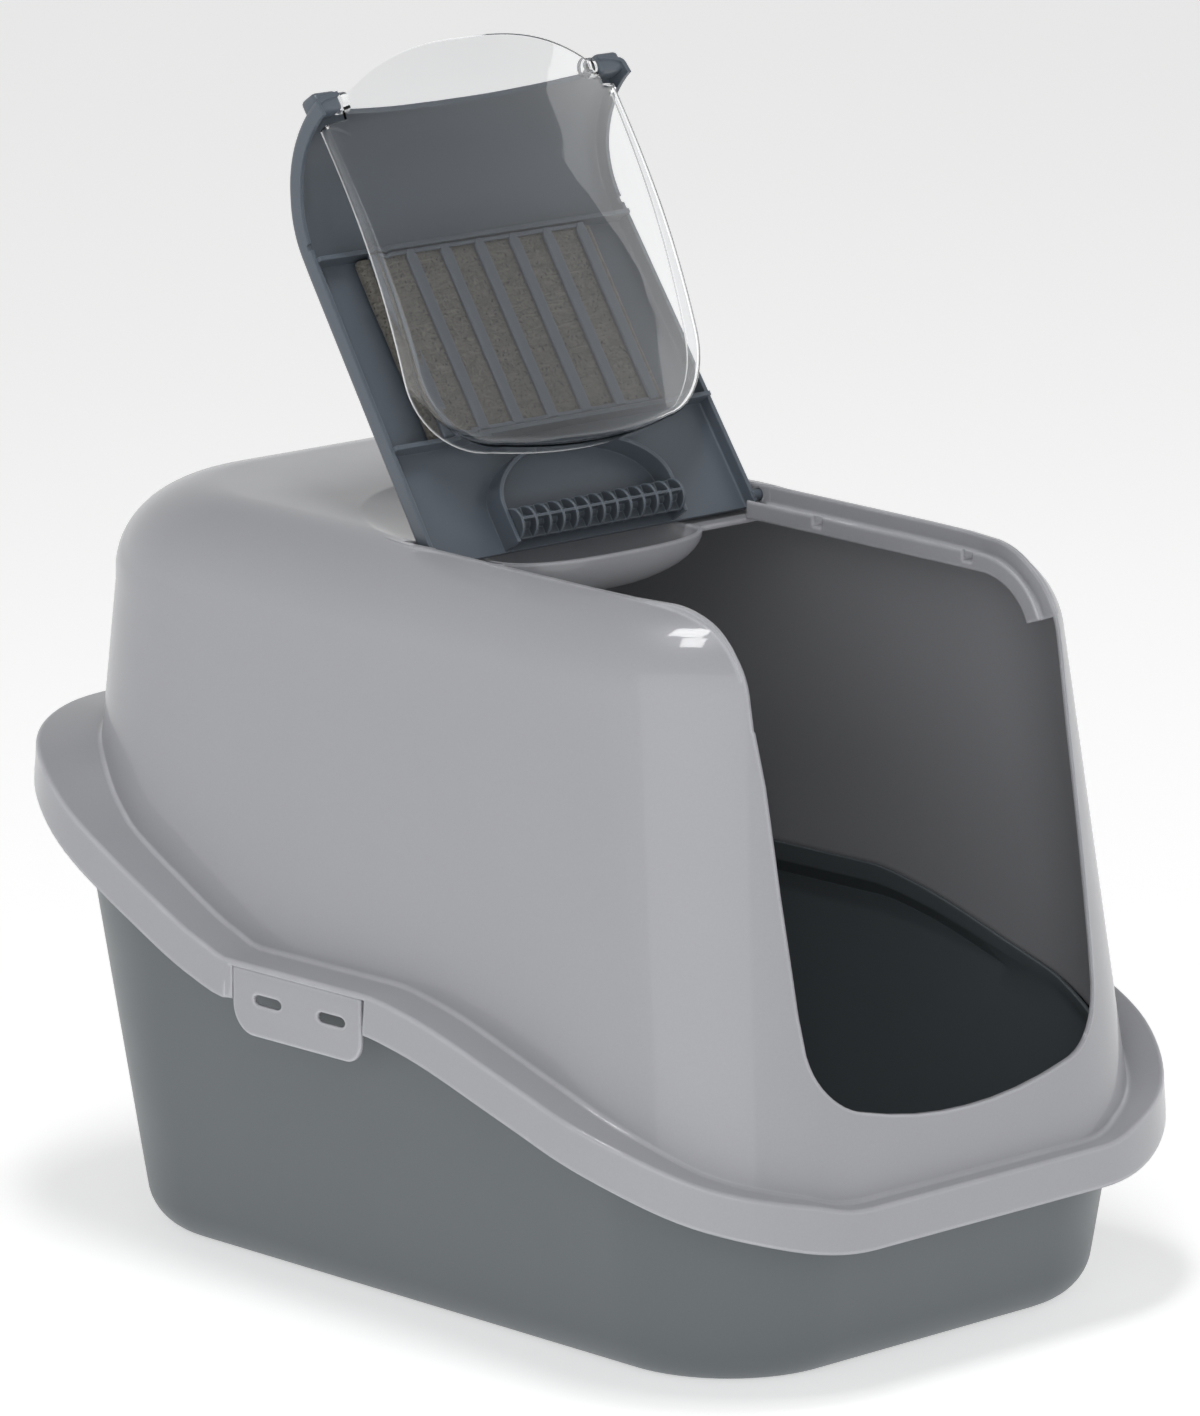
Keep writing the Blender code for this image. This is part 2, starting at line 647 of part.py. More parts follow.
def make_grip(hinge):
    """Ribbed grip: a turned core with thin discs, and a cross web through them."""
    count, half = DISC_COUNT, GRIP_HALF
    thick, core = 0.0016, 0.0036
    pitch = (2 * half - thick) / (count - 1)
    profile = [(0.0, -half)]
    for k in range(count):
        start = -half + k * pitch
        profile += [(GRIP_RADIUS, start), (GRIP_RADIUS, start + thick)]
        if k < count - 1:
            profile += [(core, start + thick), (core, start + pitch)]
    profile.append((0.0, half))
    sides = 16
    rings = []
    for radius, x in profile[1:-1]:
        rings.append([
            (
                x,
                -GRIP_S + radius * math.cos(math.tau * k / sides),
                -GRIP_DEPTH + radius * math.sin(math.tau * k / sides),
            )
            for k in range(sides)
        ])
    grip = loft("carry_grip", rings, LID_SLATE)
    web = GRIP_RADIUS - 0.0008
    join(
        grip,
        box("grip_web_flat", (-half + 0.0004, -GRIP_S - web, -GRIP_DEPTH - 0.0007),
            (half - 0.0004, -GRIP_S + web, -GRIP_DEPTH + 0.0007)),
        box("grip_web_tall", (-half + 0.0004, -GRIP_S - 0.0007, -GRIP_DEPTH - web),
            (half - 0.0004, -GRIP_S + 0.0007, -GRIP_DEPTH + web)),
    )
    return place(grip, hinge)


def make_filter(hinge):
    start, stop = RIB_S[0] + RIB_THICK / 2 + 0.0006, RIB_S[1] - RIB_THICK / 2 - 0.0006
    top = LID_TOP + LID_WALL + GAP
    pad = box("carbon_filter", (-PAD_HALF, -stop, -top - PAD_THICK), (PAD_HALF, -start, -top), FILTER_FELT)
    low = top + PAD_THICK + GAP
    width = (BAR_COUNT - 1) * BAR_PITCH / 2 + BAR_WIDTH / 2
    grille = box(
        "filter_grille", (-width, -start - 0.0040, -low - BAR_THICK), (width, -start, -low), LID_SLATE
    )
    join(grille, box("grille_far_strip", (-width, -stop, -low - BAR_THICK), (width, -stop + 0.0040, -low)))
    for k in range(BAR_COUNT):
        x = (k - (BAR_COUNT - 1) / 2) * BAR_PITCH
        join(grille, box(
            f"grille_bar_{k + 1}",
            (x - BAR_WIDTH / 2, -stop + 0.0002, -low - BAR_THICK - 0.0004),
            (x + BAR_WIDTH / 2, -start - 0.0002, -low + 0.00002),
        ))
    return place(pad, hinge), place(grille, hinge)


# ---- door flap (hanging, in the pivots' frame)
def door_half(fall):
    """Half width of the flap at this distance below the pivots."""
    return DOOR_HALF - 0.0015 * fall / DOOR_TALL


def door_point(across, fall):
    """Point on the flap's outer face: bowed outwards across, and a little along its height."""
    x = across
    share = min(abs(across) / DOOR_HALF, 1.0)
    belly = math.sin(math.pi * min(max(fall / DOOR_TALL, 0.0), 1.0))
    out = DOOR_BULGE * (1.0 - share * share) + 0.006 * belly * share * share + 0.004 * belly
    if fall < 0.0:
        out -= 0.30 * abs(fall) * (1.0 - share)
    return Vector((x, -out, -fall))


def door_bottom(across):
    """How far down the flap reaches at this distance from its middle."""
    share = abs(across) / DOOR_HALF
    return DOOR_TALL - 0.0060 * share ** 2 - 0.040 * max(share - 0.55, 0.0) ** 2 / 0.2025


def door_top(across):
    share = min(abs(across) / 0.0875, 1.0)
    if abs(across) > 0.0875:
        return 0.0105
    return -DOOR_ARCH * (1.0 - share ** 2.6)


def make_door(hinge):
    columns = (-1.0, -0.985, -0.93, -0.8755, -0.8745, -0.80, -0.66, -0.46, -0.23, 0.0)
    columns = columns + tuple(-c for c in reversed(columns[:-1]))
    rows_count = 9
    rows = []
    for j in range(rows_count + 1):
        t = j / rows_count
        line = []
        for c in columns:
            across = c * DOOR_HALF
            top, low = door_top(across), door_bottom(across)
            fall = top + (low - top) * t
            line.append(door_point(across * door_half(fall) / DOOR_HALF, fall))
        rows.append(line)
    inner = [p + Vector((0.0, DOOR_RIM * 1.4, 0.0010)) for p in rows[-1]]
    rows.append(inner)
    for j, line in enumerate(rows):
        share = min(j / rows_count, 1.0)
        depth = DOOR_RIM * (0.35 + 0.65 * share)
        if j == len(rows) - 1:
            depth = 0.0008
        left = line[0] + Vector((0.0004, depth, 0.0))
        right = line[-1] + Vector((-0.0004, depth, 0.0))
        rows[j] = [left] + line + [right]
    door = grid("door_flap", rows, CLEAR)
    facing = sum(f.normal.y for f in door.data.polygons)
    if facing > 0.0:
        door.data.flip_normals()
    solidify(door, DOOR_THICK)
    for side, label in ((-1, "left"), (1, "right")):
        lug = sorted((side * LUG_X[0], side * LUG_X[1]))
        pin = sorted((side * (LUG_X[0] + 0.001), side * 0.0985))
        join(door, rod(f"door_lug_{label}", 0.0056, lug, 0.0, 0.0, 20))
        join(door, rod(f"door_pin_{label}", PIN_RADIUS, pin, 0.0, 0.0, 14))
    return place(door, hinge)


# ---- side clips
def stadium(name, centre_y, centre_z, size, x_range):
    """Slot with round ends, cut along X."""
    length, height = size
    points = []
    for turn, side in ((-90, 1), (90, -1)):
        for k in range(7):
            a = math.radians(turn + 180 * k / 6)
            points.append((
                centre_y + side * (length - height) / 2 + height / 2 * math.cos(a),
                centre_z + height / 2 * math.sin(a),
            ))
    return prism_x(name, points, x_range)


def make_clip(side, label):
    (front, rear), (round_front, round_rear) = CLIP_Y, CLIP_RADIUS
    shape = [(front, CLIP_TOP), (rear, CLIP_TOP)]
    for turn, radius, cy in ((0, round_rear, rear - round_rear), (-90, round_front, front + round_front)):
        for k in range(5):
            a = math.radians(turn - 90 * k / 4)
            shape.append((cy + radius * math.cos(a), CLIP_LOW + radius + radius * math.sin(a)))
    reach = sorted(side * x for x in CLIP_X)
    clip = prism_x(f"side_clip_{label}", shape, reach, HOOD_GREY)
    hole = sorted((side * (CLIP_X[0] - 0.01), side * (CLIP_X[1] + 0.01)))
    for number, y in enumerate(SLOT_Y, 1):
        cut(clip, stadium(f"clip_slot_{label}_{number}", y, SLOT_Z, SLOT_SIZE, hole))
    return clip


def main():
    make_tray()
    make_hood()
    lid_hinge = hinge_empty("lid_hinge", HINGE, LID_OPEN)
    door_hinge = hinge_empty(
        "door_hinge", (0.0, -PIVOT_S, -PIVOT_DEPTH), DOOR_HANG - LID_OPEN, lid_hinge
    )
    make_lid(lid_hinge)
    make_grip(lid_hinge)
    make_filter(lid_hinge)
    make_door(door_hinge)
    make_clip(-1, "left")
    make_clip(1, "right")


main()
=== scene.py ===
"""Looks of the hooded cat litter box: finer shells of the CAD pieces, in plastic, clear plastic and felt."""
import math

import bmesh
import bpy
import numpy as np
from mathutils import Matrix, Vector, noise


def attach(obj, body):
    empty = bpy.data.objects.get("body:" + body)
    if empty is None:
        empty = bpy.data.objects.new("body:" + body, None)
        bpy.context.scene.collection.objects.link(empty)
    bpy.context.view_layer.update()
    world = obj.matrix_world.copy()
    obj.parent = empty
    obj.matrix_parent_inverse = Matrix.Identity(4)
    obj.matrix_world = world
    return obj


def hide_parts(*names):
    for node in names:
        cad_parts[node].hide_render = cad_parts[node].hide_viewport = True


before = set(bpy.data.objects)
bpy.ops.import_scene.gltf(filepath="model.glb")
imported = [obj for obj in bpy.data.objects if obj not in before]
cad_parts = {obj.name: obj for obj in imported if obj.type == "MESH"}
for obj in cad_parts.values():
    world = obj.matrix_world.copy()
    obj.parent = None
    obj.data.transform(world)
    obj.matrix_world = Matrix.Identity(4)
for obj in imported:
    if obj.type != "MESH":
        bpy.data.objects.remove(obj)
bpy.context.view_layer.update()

# ---- sizes of the moulded shells, in metres: as in the CAD, but for rounds, folds, clip gaps and CLIP_TOP
WIDTH, LENGTH, WALL, GAP, SEAT_GAP = 0.390, 0.560, 0.0025, 0.0003, 0.0018
FLANGE = (WIDTH / 2, -LENGTH / 2, LENGTH / 2, 0.115)
TRAY_FOOT, TRAY_DRAFT, TRAY_FILLET = (0.1477, -0.2457, 0.2177, 0.0727), 0.157, 0.020
FOOT_PULL, LIP_INSET = 0.84, 0.0045
BODY_LOW, BODY_HIGH = (0.1720, -0.2620, 0.2640, 0.105), (0.1580, -0.2385, 0.2540, 0.110)
BODY_LOW_Z, BODY_HIGH_Z = 0.140, 0.334
PARTING_LINE = (
    (-0.280, 0.0715), (-0.264, 0.0810), (-0.240, 0.0915), (-0.200, 0.1090), (-0.130, 0.1315),
    (-0.062, 0.1500), (-0.036, 0.1535), (0.062, 0.1535), (0.088, 0.1600), (0.140, 0.1830),
    (0.190, 0.2085), (0.235, 0.2290), (0.280, 0.2390),
)
SKIRT, LEDGE_ROUND, BASE_FILLET = 0.0200, 0.0016, 0.0018
ROOF_MID_Z, ROOF_SLOPE, ABOVE_ROOF_Z = 0.3815, 0.020, 0.46
SHOULDER_SIDE, SHOULDER_FRONT, SHOULDER_TALL = 0.052, 0.044, 0.046

POCKET_REAR_Y, POCKET_LOW_Z, SHOULDER_TOE_Y, POCKET_HALF = 0.0142, 0.3215, -0.2205, 0.1165
POCKET_EDGE = (
    (POCKET_REAR_Y, POCKET_HALF), (-0.125, POCKET_HALF), (-0.152, 0.1152), (-0.176, 0.1108), (-0.198, 0.1078)
)
DOORWAY_SILL_Z = 0.1250
DOORWAY_EDGE = ((0.1077, 0.3260), (0.1056, 0.2950), (0.1046, 0.2420), (0.1025, 0.1850), (0.1008, 0.1660))
LEDGE_DEPTH, RAIL_TOP_DEPTH, RAIL_LOW_DEPTH, RAIL_IN, RAIL_OUT = 0.0105, 0.0067, 0.0160, 0.1016, 0.1033
RECESS_RADIUS, RECESS_DEPTH = 0.118, 0.006
HINGE_BEAM_HALF, HINGE_BEAM_Y, HINGE_BEAM_Z = 0.1180, (-0.0060, 0.0160), (0.3630, 0.3655)
HINGE_WALL_HALF, HINGE_WALL_Z = 0.1176, (0.3632, 0.3750)
HINGE_CHEEK_Y, HINGE_CHEEK_Z = (-0.0085, 0.0163), (0.3634, 0.3808)
NOTCH_HALF, NOTCH_TOP_Z = 0.0032, 0.3850
BOWL_HALF, BOWL_REACH, BOWL_DEPTH, BOWL_Y, BOWL_RIM_Z = 0.0670, 0.0290, 0.0220, 0.0040, 0.3660

HINGE, LID_OPEN, STUB_RADIUS = Vector((0.0, 0.0, 0.3750)), math.radians(-123.6), 0.0030
LID_HALF, LID_HALF_MID, LID_HALF_TIP, LID_BACK = 0.1120, 0.1083, 0.1062, -0.0040
LID_TOP, LID_RIM, LID_WALL, LID_ROUND = -0.0075, 0.0020, 0.0024, 0.0034
LID_FRONT, LID_FRONT_SIDE, LID_CURL = 0.2400, 0.2310, 0.0620
LID_EDGE_MID, LID_EDGE_SIDE, LID_TIP, ARM_SHARE = 0.0210, 0.0318, 0.0455, 0.842
RIB_S, RIB_THICK, RIB_DEPTH = (0.0570, 0.1620), 0.0024, 0.0048
EAR_X, EAR_S, EAR_DEPTH = (0.0888, 0.1050), (0.2235, 0.2345), (0.0330, 0.0450)
RING_HALF, RING_CENTRE, RING_REACH, RING_DEPTH = 0.0590, 0.0165, 0.0315, 0.0065
GRIP_S, GRIP_DEPTH, GRIP_RADIUS, GRIP_HALF, DISC_COUNT = 0.0066, 0.0042, 0.0085, 0.0565, 13
PAD_HALF, PAD_THICK = 0.0800, 0.0066
BAR_COUNT, BAR_PITCH, BAR_WIDTH, BAR_THICK = 7, 0.0235, 0.0068, 0.0019

PIVOT_S, PIVOT_DEPTH, DOOR_HANG = 0.2290, 0.0390, math.radians(-26.0)
DOOR_THICK, DOOR_HALF, DOOR_TALL, DOOR_ARCH = 0.0020, 0.1000, 0.1940, 0.0225
DOOR_BULGE, DOOR_FOLD = 0.0160, 0.0050
PIN_RADIUS, PIN_HOLE, LUG_RADIUS, LUG_X, PIN_END = 0.0022, 0.0026, 0.0056, (0.0825, 0.0875), 0.0985

CLIP_Y, CLIP_TOP, CLIP_LOW = (-0.0362, 0.0580), 0.1704, 0.1370
CLIP_X, CLIP_RADIUS, CLIP_BEVEL = (0.1906, 0.1930), (0.0110, 0.0150), 0.0006
CLIP_CUT_X, CLIP_CUT_Z, CLIP_GAP_Y = (0.1905, 0.2050), 0.1400, (0.0034, 0.0004)
SLOT_SIZE, SLOT_Y, SLOT_Z = (0.0205, 0.0052), (-0.0144, 0.0325), 0.1560

LID_FRAME = Matrix.Translation(HINGE) @ Matrix.Rotation(LID_OPEN, 4, "X")
PIVOT = Matrix.Translation((0.0, -PIVOT_S, -PIVOT_DEPTH))
DOOR_FRAME = LID_FRAME @ PIVOT @ Matrix.Rotation(DOOR_HANG - LID_OPEN, 4, "X")


# ---- mesh helpers
def new_object(name, points, faces, closed=True):
    mesh = bpy.data.meshes.new(name)
    mesh.from_pydata([tuple(p) for p in points], [], faces)
    if closed:
        bm = bmesh.new()
        bm.from_mesh(mesh)
        if bm.calc_volume(signed=True) < 0.0:
            bmesh.ops.reverse_faces(bm, faces=bm.faces)
        bm.to_mesh(mesh)
        bm.free()
    return add(name, mesh)


def add(name, data):
    """Object for a mesh, a light or a camera, linked to the scene."""
    obj = bpy.data.objects.new(name, data)
    bpy.context.scene.collection.objects.link(obj)
    return obj


def from_bmesh(name, bm):
    mesh = bpy.data.meshes.new(name)
    bm.to_mesh(mesh)
    bm.free()
    return add(name, mesh)


def loft(name, rings, cap_start=True):
    """Closed rings of equal point count, skinned one to the next and capped."""
    count = len(rings[0])
    points = [p for ring in rings for p in ring]
    faces = []
    for j in range(len(rings) - 1):
        for k in range(count):
            n = (k + 1) % count
            faces.append((j * count + k, j * count + n, (j + 1) * count + n, (j + 1) * count + k))
    if cap_start:
        faces.append(tuple(reversed(range(count))))
    faces.append(tuple((len(rings) - 1) * count + k for k in range(count)))
    return new_object(name, points, faces, cap_start)


def grid(name, rows):
    """Open sheet from rows of equal point count."""
    count = len(rows[0])
    points = [p for row in rows for p in row]
    faces = []
    for j in range(len(rows) - 1):
        for k in range(count - 1):
            faces.append((j * count + k, j * count + k + 1, (j + 1) * count + k + 1, (j + 1) * count + k))
    return new_object(name, points, faces, closed=False)


def box(name, low, high, round_by=0.0):
    """Axis-aligned block between two corners, its edges rounded."""
    low, high = Vector(low), Vector(high)
    bm = bmesh.new()
    bmesh.ops.create_cube(bm, size=1.0)
    bmesh.ops.scale(bm, vec=high - low, verts=bm.verts)
    bmesh.ops.translate(bm, vec=(high + low) / 2, verts=bm.verts)
    if round_by:
        bmesh.ops.bevel(bm, geom=list(bm.edges), offset=round_by, segments=3, profile=0.5, affect="EDGES")
    return from_bmesh(name, bm)


def rod(name, radius, x_range, y, z, sides=32):
    """Cylinder along X."""
    bm = bmesh.new()
    bmesh.ops.create_cone(
        bm, cap_ends=True, segments=sides, radius1=radius, radius2=radius, depth=x_range[1] - x_range[0]
    )
    bmesh.ops.rotate(bm, matrix=Matrix.Rotation(math.pi / 2, 3, "Y"), verts=bm.verts)
    bmesh.ops.translate(bm, vec=(sum(x_range) / 2, y, z), verts=bm.verts)
    return from_bmesh(name, bm)


def prism_x(name, outline, x_range):
    """An outline of (y, z) points extruded along X."""
    return loft(name, [[(x, y, z) for y, z in outline] for x in x_range])


def apply_modifiers(obj):
    """The mesh that the modifiers make becomes the object's own."""
    graph = bpy.context.evaluated_depsgraph_get()
    mesh = bpy.data.meshes.new_from_object(obj.evaluated_get(graph))
    obj.modifiers.clear()
    obj.data = mesh
    return obj


def combine(obj, operation, others):
    """Boolean with shapes that are used up by it."""
    for other in others:
        step = obj.modifiers.new(other.name, "BOOLEAN")
        step.operation = operation
        step.solver = "EXACT"
        step.object = other
    apply_modifiers(obj)
    for other in others:
        bpy.data.objects.remove(other, do_unlink=True)
    return obj


def join(obj, *others):
    return combine(obj, "UNION", others)


def cut(obj, *others):
    return combine(obj, "DIFFERENCE", others)


def solidify(obj, thickness):
    step = obj.modifiers.new("wall", "SOLIDIFY")
    step.thickness = thickness
    step.offset = -1.0
    step.use_even_offset = True
    return apply_modifiers(obj)


def smooth(obj, angle=32):
    """Smooth shading that keeps real edges sharp and large flat faces flat."""
    obj.data.shade_smooth()
    obj.data.set_sharp_from_angle(angle=math.radians(angle))
    step = obj.modifiers.new("weighted_normals", "WEIGHTED_NORMAL")
    step.keep_sharp = True
    step.weight = 60
    return apply_modifiers(obj)


def dress(obj, body, nodes, finish, place=None):
    """Puts a piece in the shared frame, gives it its finish and ties it to its CAD body."""
    if place is not None:
        obj.data.transform(place)
    obj.data.materials.clear()
    obj.data.materials.append(finish)
    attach(obj, body)
    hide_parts(*nodes)
    return obj


# ---- plan outline: each point is a blend of two points on two rounded corners
SIDE_STEPS, CORNER_STEPS, END_STEPS, DRAFT_PASSES, SLOPE_REACH = 46, 26, 16, 4, 0.004
CORNERS = ((1, 1, 0), (-1, 1, 90), (-1, 0, 180), (1, 0, 270))


def outline_table():
    rows = []
    for number, corner in enumerate(CORNERS):
        before = CORNERS[number - 1]
        steps = END_STEPS if number % 2 else SIDE_STEPS
        for k in range(steps):
            rows.append((*before[:2], before[2] + 90, *corner[:2], corner[2], k / steps))
        for k in range(CORNER_STEPS):
            angle = corner[2] + 90.0 * k / CORNER_STEPS
            rows.append((*corner[:2], angle, *corner[:2], angle, 0.0))
    return np.array(rows, float)


TABLE = outline_table()


def ring(plan, z):
    """Points of a rounded rectangle (half width, front, rear, radius) at height z; each may vary by point."""
    half, front, rear, radius = plan

    def on_corner(side, is_rear, angle):
        a = np.radians(angle)
        x = side * (half - radius) + radius * np.cos(a)
        y = np.where(is_rear > 0.5, rear - radius, front + radius) + radius * np.sin(a)
        return x, y

    ax, ay = on_corner(TABLE[:, 0], TABLE[:, 1], TABLE[:, 2])
    bx, by = on_corner(TABLE[:, 3], TABLE[:, 4], TABLE[:, 5])
    t = TABLE[:, 6]
    x, y = ax + (bx - ax) * t, ay + (by - ay) * t
    return np.stack([x, y, np.broadcast_to(z, x.shape)], axis=1)


def grown(plan, grow):
    half, front, rear, radius = plan
    return half + grow, front - grow, rear + grow, radius + grow


def parting_z(y):
    """Smooth curve through the parting line's points, with level ends."""
    ys = np.array([p[0] for p in PARTING_LINE])
    zs = np.array([p[1] for p in PARTING_LINE])
    y = np.clip(y, ys[0], ys[-1])
    k = np.clip(np.searchsorted(ys, y, side="right") - 1, 0, len(ys) - 2)
    slope = np.diff(zs) / np.diff(ys)
    before = np.concatenate([slope[:1], slope])
    after = np.concatenate([slope, slope[-1:]])
    product = before * after
    tangent = np.where(product > 0, 2 * product / np.where(product > 0, before + after, 1.0), 0.0)
    step = ys[k + 1] - ys[k]
    t = (y - ys[k]) / step
    return (
        zs[k] * (1 + 2 * t) * (1 - t) ** 2 + tangent[k] * step * t * (1 - t) ** 2
        + zs[k + 1] * t * t * (3 - 2 * t) + tangent[k + 1] * step * t * t * (t - 1)
    )


def flange_y(x, y):
    """y of the flange's nearest edge: the same beside the flange's straight sides, its end's past them."""
    half, front, rear, radius = FLANGE
    centre = np.clip(y, front + radius, rear - radius)
    away, across = y - centre, np.maximum(np.abs(x) - (half - radius), 0.0)
    return centre + radius * away / np.maximum(np.hypot(away, across), 1e-9)


def rim_z(points, rise):
    """Height over each point of a surface this far above the parting line, measured square to the line."""
    y = flange_y(points[:, 0], points[:, 1])
    slope = (parting_z(y + SLOPE_REACH) - parting_z(y - SLOPE_REACH)) / (2 * SLOPE_REACH)
    return parting_z(y) + rise * np.sqrt(1.0 + slope * slope)


def roof_z(y):
    return ROOF_MID_Z + ROOF_SLOPE * y


def flange_ring(grow, rise):
    points = ring(grown(FLANGE, grow), 0.0)
    points[:, 2] = rim_z(points, rise)
    return points


def drafted_ring(plan_at, height):
    """Ring on a drafted wall: plan_at gives the plan at a height, and height gives z over each point."""
    points = ring(FLANGE, 0.0)
    for _ in range(DRAFT_PASSES):
        z = height(points)
        points = ring(plan_at(z), z)
    return points


def body_ring(height, grow=0.0):
    """Ring on the hood's drafted wall, whose draft runs on for a way below BODY_LOW_Z."""
    lowest = -0.6

    def plan_at(z):
        t = np.maximum((z - BODY_LOW_Z) / (BODY_HIGH_Z - BODY_LOW_Z), lowest)
        return grown([a + (b - a) * t for a, b in zip(BODY_LOW, BODY_HIGH)], grow)

    return drafted_ring(plan_at, height)


def tray_ring(height, shift=0.0):
    return drafted_ring(lambda z: grown(TRAY_FOOT, TRAY_DRAFT * z + shift), height)


def shoulder_ring(angle):
    a = math.radians(angle)
    inset, drop = 1.0 - math.cos(a), SHOULDER_TALL * (1.0 - math.sin(a))
    half, front, rear, radius = BODY_HIGH
    points = ring((
        half - SHOULDER_SIDE * inset, front + SHOULDER_FRONT * inset,
        rear - SHOULDER_SIDE * inset, radius - SHOULDER_TALL * inset,
    ), 0.0)
    points[:, 2] = roof_z(points[:, 1]) - drop
    return points


# ---- tray
def make_tray():
    """One closed section carried round the box: up the outside, out and over the rim, down the inside."""
    seat = SKIRT - WALL - SEAT_GAP
    high, rim = seat - 0.0024, seat - 0.0095

    def wall_ring(part, shift=0.0):
        low = TRAY_FILLET * 0.95
        return tray_ring(lambda p: low + (rim_z(p, high) - low) * part, shift)

    def lip_ring(drop, inset):
        """Top of the upstanding lip, which is lower towards the doorway."""
        tall, lower, lower_from, lower_over = 0.0265, 0.0045, -0.04, 0.14

        def height(p):
            rise = tall - lower * np.clip((lower_from - p[:, 1]) / lower_over, 0.0, 1.0)
            return rim_z(p, rise) - drop

        return body_ring(height, -LIP_INSET - inset)

    rings = []
    for angle in np.linspace(90, 6, 10):
        a = math.radians(angle)
        z = TRAY_FILLET * (1.0 - math.sin(a))
        shift = -TRAY_FILLET * FOOT_PULL * (1.0 - math.cos(a))
        rings.append(tray_ring(lambda p, z=z: np.full(len(p), z), shift))
    rings += [wall_ring(part) for part in np.linspace(0.06, 1.0, 10)]
    for grow, rise in (
        (-0.0078, high), (-0.0073, high - 0.0006), (-0.0073, rim + 0.0004), (-0.0068, rim), (-0.0056, rim),
        (-0.0050, rim + 0.0006), (-0.0050, seat - 0.0012), (-0.0054, seat - 0.0004), (-0.0062, seat),
    ):
        rings.append(flange_ring(grow, rise))
    for rise, grow in ((seat, -0.0030), (seat + 0.0005, -0.0040), (seat + 0.0018, -LIP_INSET)):
        rings.append(body_ring(lambda p, rise=rise: rim_z(p, rise), grow))
    rings += [lip_ring(0.0008, 0.0), lip_ring(0.0002, 0.0003), lip_ring(0.0, 0.0009)]
    rings += [lip_ring(0.0, WALL - 0.0009), lip_ring(0.0002, WALL - 0.0003), lip_ring(0.0008, WALL)]
    rings.append(body_ring(lambda p: rim_z(p, seat + 0.0014), -LIP_INSET - WALL))
    rings.append(body_ring(lambda p: rim_z(p, seat + 0.0002), -0.0041 - WALL))
    rings += [wall_ring(part, -WALL) for part in np.linspace(0.965, 0.06, 10)]
    for angle in np.linspace(6, 90, 10):
        a = math.radians(angle)
        z = WALL + (TRAY_FILLET - WALL) * (1.0 - math.sin(a))
        shift = -WALL - (TRAY_FILLET - WALL) * FOOT_PULL * (1.0 - math.cos(a))
        rings.append(tray_ring(lambda p, z=z: np.full(len(p), z), shift))
    return smooth(loft("tray_shell", rings))


# ---- hood
def side_profile(y):
    """Height of the hood's outer surface beside the pocket, at this y."""
    front, reach = SHOULDER_TOE_Y, 0.050
    if y >= front + reach:
        return roof_z(y)
    t = min((front + reach - y) / reach, 1.0)
    return roof_z(y) - SHOULDER_TALL * (1.0 - math.sqrt(1.0 - t * t))


def pocket_half(y):
    ys = [-edge[0] for edge in POCKET_EDGE]
    return float(np.interp(-y, ys, [edge[1] for edge in POCKET_EDGE]))


def side_strip(name, side):
    """Pocket wall, ledge and upstanding rail in one section, swept along the roof and down the shoulder."""
    rings = []
    end, curve, quarter, step, overlap, top = -0.2178, 0.0478, 1.571, 0.0003, 0.0002, 0.0009
    on_shoulder = end + curve * np.cos(np.linspace(0.0, 1.0, 17)[1:] * quarter)
    for y in np.concatenate([np.linspace(-0.0064, -0.165, 12), on_shoulder]):
        here = Vector((y, side_profile(y)))
        along = (Vector((y - step, side_profile(y - step))) - here).normalized()
        inward = Vector((-along.y, along.x))
        near, floor = pocket_half(y) - overlap, LEDGE_DEPTH + WALL
        section = (
            (near + WALL, top), (near + WALL, floor), (RAIL_OUT, floor), (RAIL_OUT, RAIL_LOW_DEPTH),
            (RAIL_IN + 0.0004, RAIL_LOW_DEPTH), (RAIL_IN, RAIL_LOW_DEPTH - 0.0005),
            (RAIL_IN, RAIL_TOP_DEPTH + 0.0005), (RAIL_IN + 0.0005, RAIL_TOP_DEPTH),
            (RAIL_OUT - 0.0005, RAIL_TOP_DEPTH), (RAIL_OUT, RAIL_TOP_DEPTH + 0.0005),
            (RAIL_OUT, LEDGE_DEPTH - 0.0004), (RAIL_OUT + 0.0005, LEDGE_DEPTH),
            (near - 0.0008, LEDGE_DEPTH), (near, LEDGE_DEPTH - 0.0008), (near, top),
        )
        rings.append([(side * x, *(here + inward * depth)) for x, depth in section])
    return loft(name, rings)


def pocket_outline():
    ys = np.linspace(POCKET_REAR_Y, -0.198, 24)
    right = [(pocket_half(y), float(y)) for y in ys] + [(POCKET_EDGE[-1][1], -0.320)]
    return right + [(-x, y) for x, y in reversed(right)]


def doorway_outline():
    """Front view of the doorway: drafted sides and a rounded sill, as (x, z)."""
    right = list(DOORWAY_EDGE)
    corner_x, corner_z, corner_r = 0.0640, 0.1710, 0.0370
    for angle in np.linspace(-10, -78, 12):
        a = math.radians(angle)
        right.append((corner_x + corner_r * math.cos(a), corner_z + corner_r * math.sin(a)))
    low_x, low_z = right[-1]
    for share in (0.75, 0.5, 0.25, 0.0):
        right.append((low_x * share, DOORWAY_SILL_Z + (low_z - DOORWAY_SILL_Z) * share ** 2.0))
    return right + [(-x, z) for x, z in reversed(right[:-1])]


def squared(value, power=2.6):
    """Sine or cosine drawn towards a squarer oval."""
    return math.copysign(abs(value) ** (2.0 / power), value)


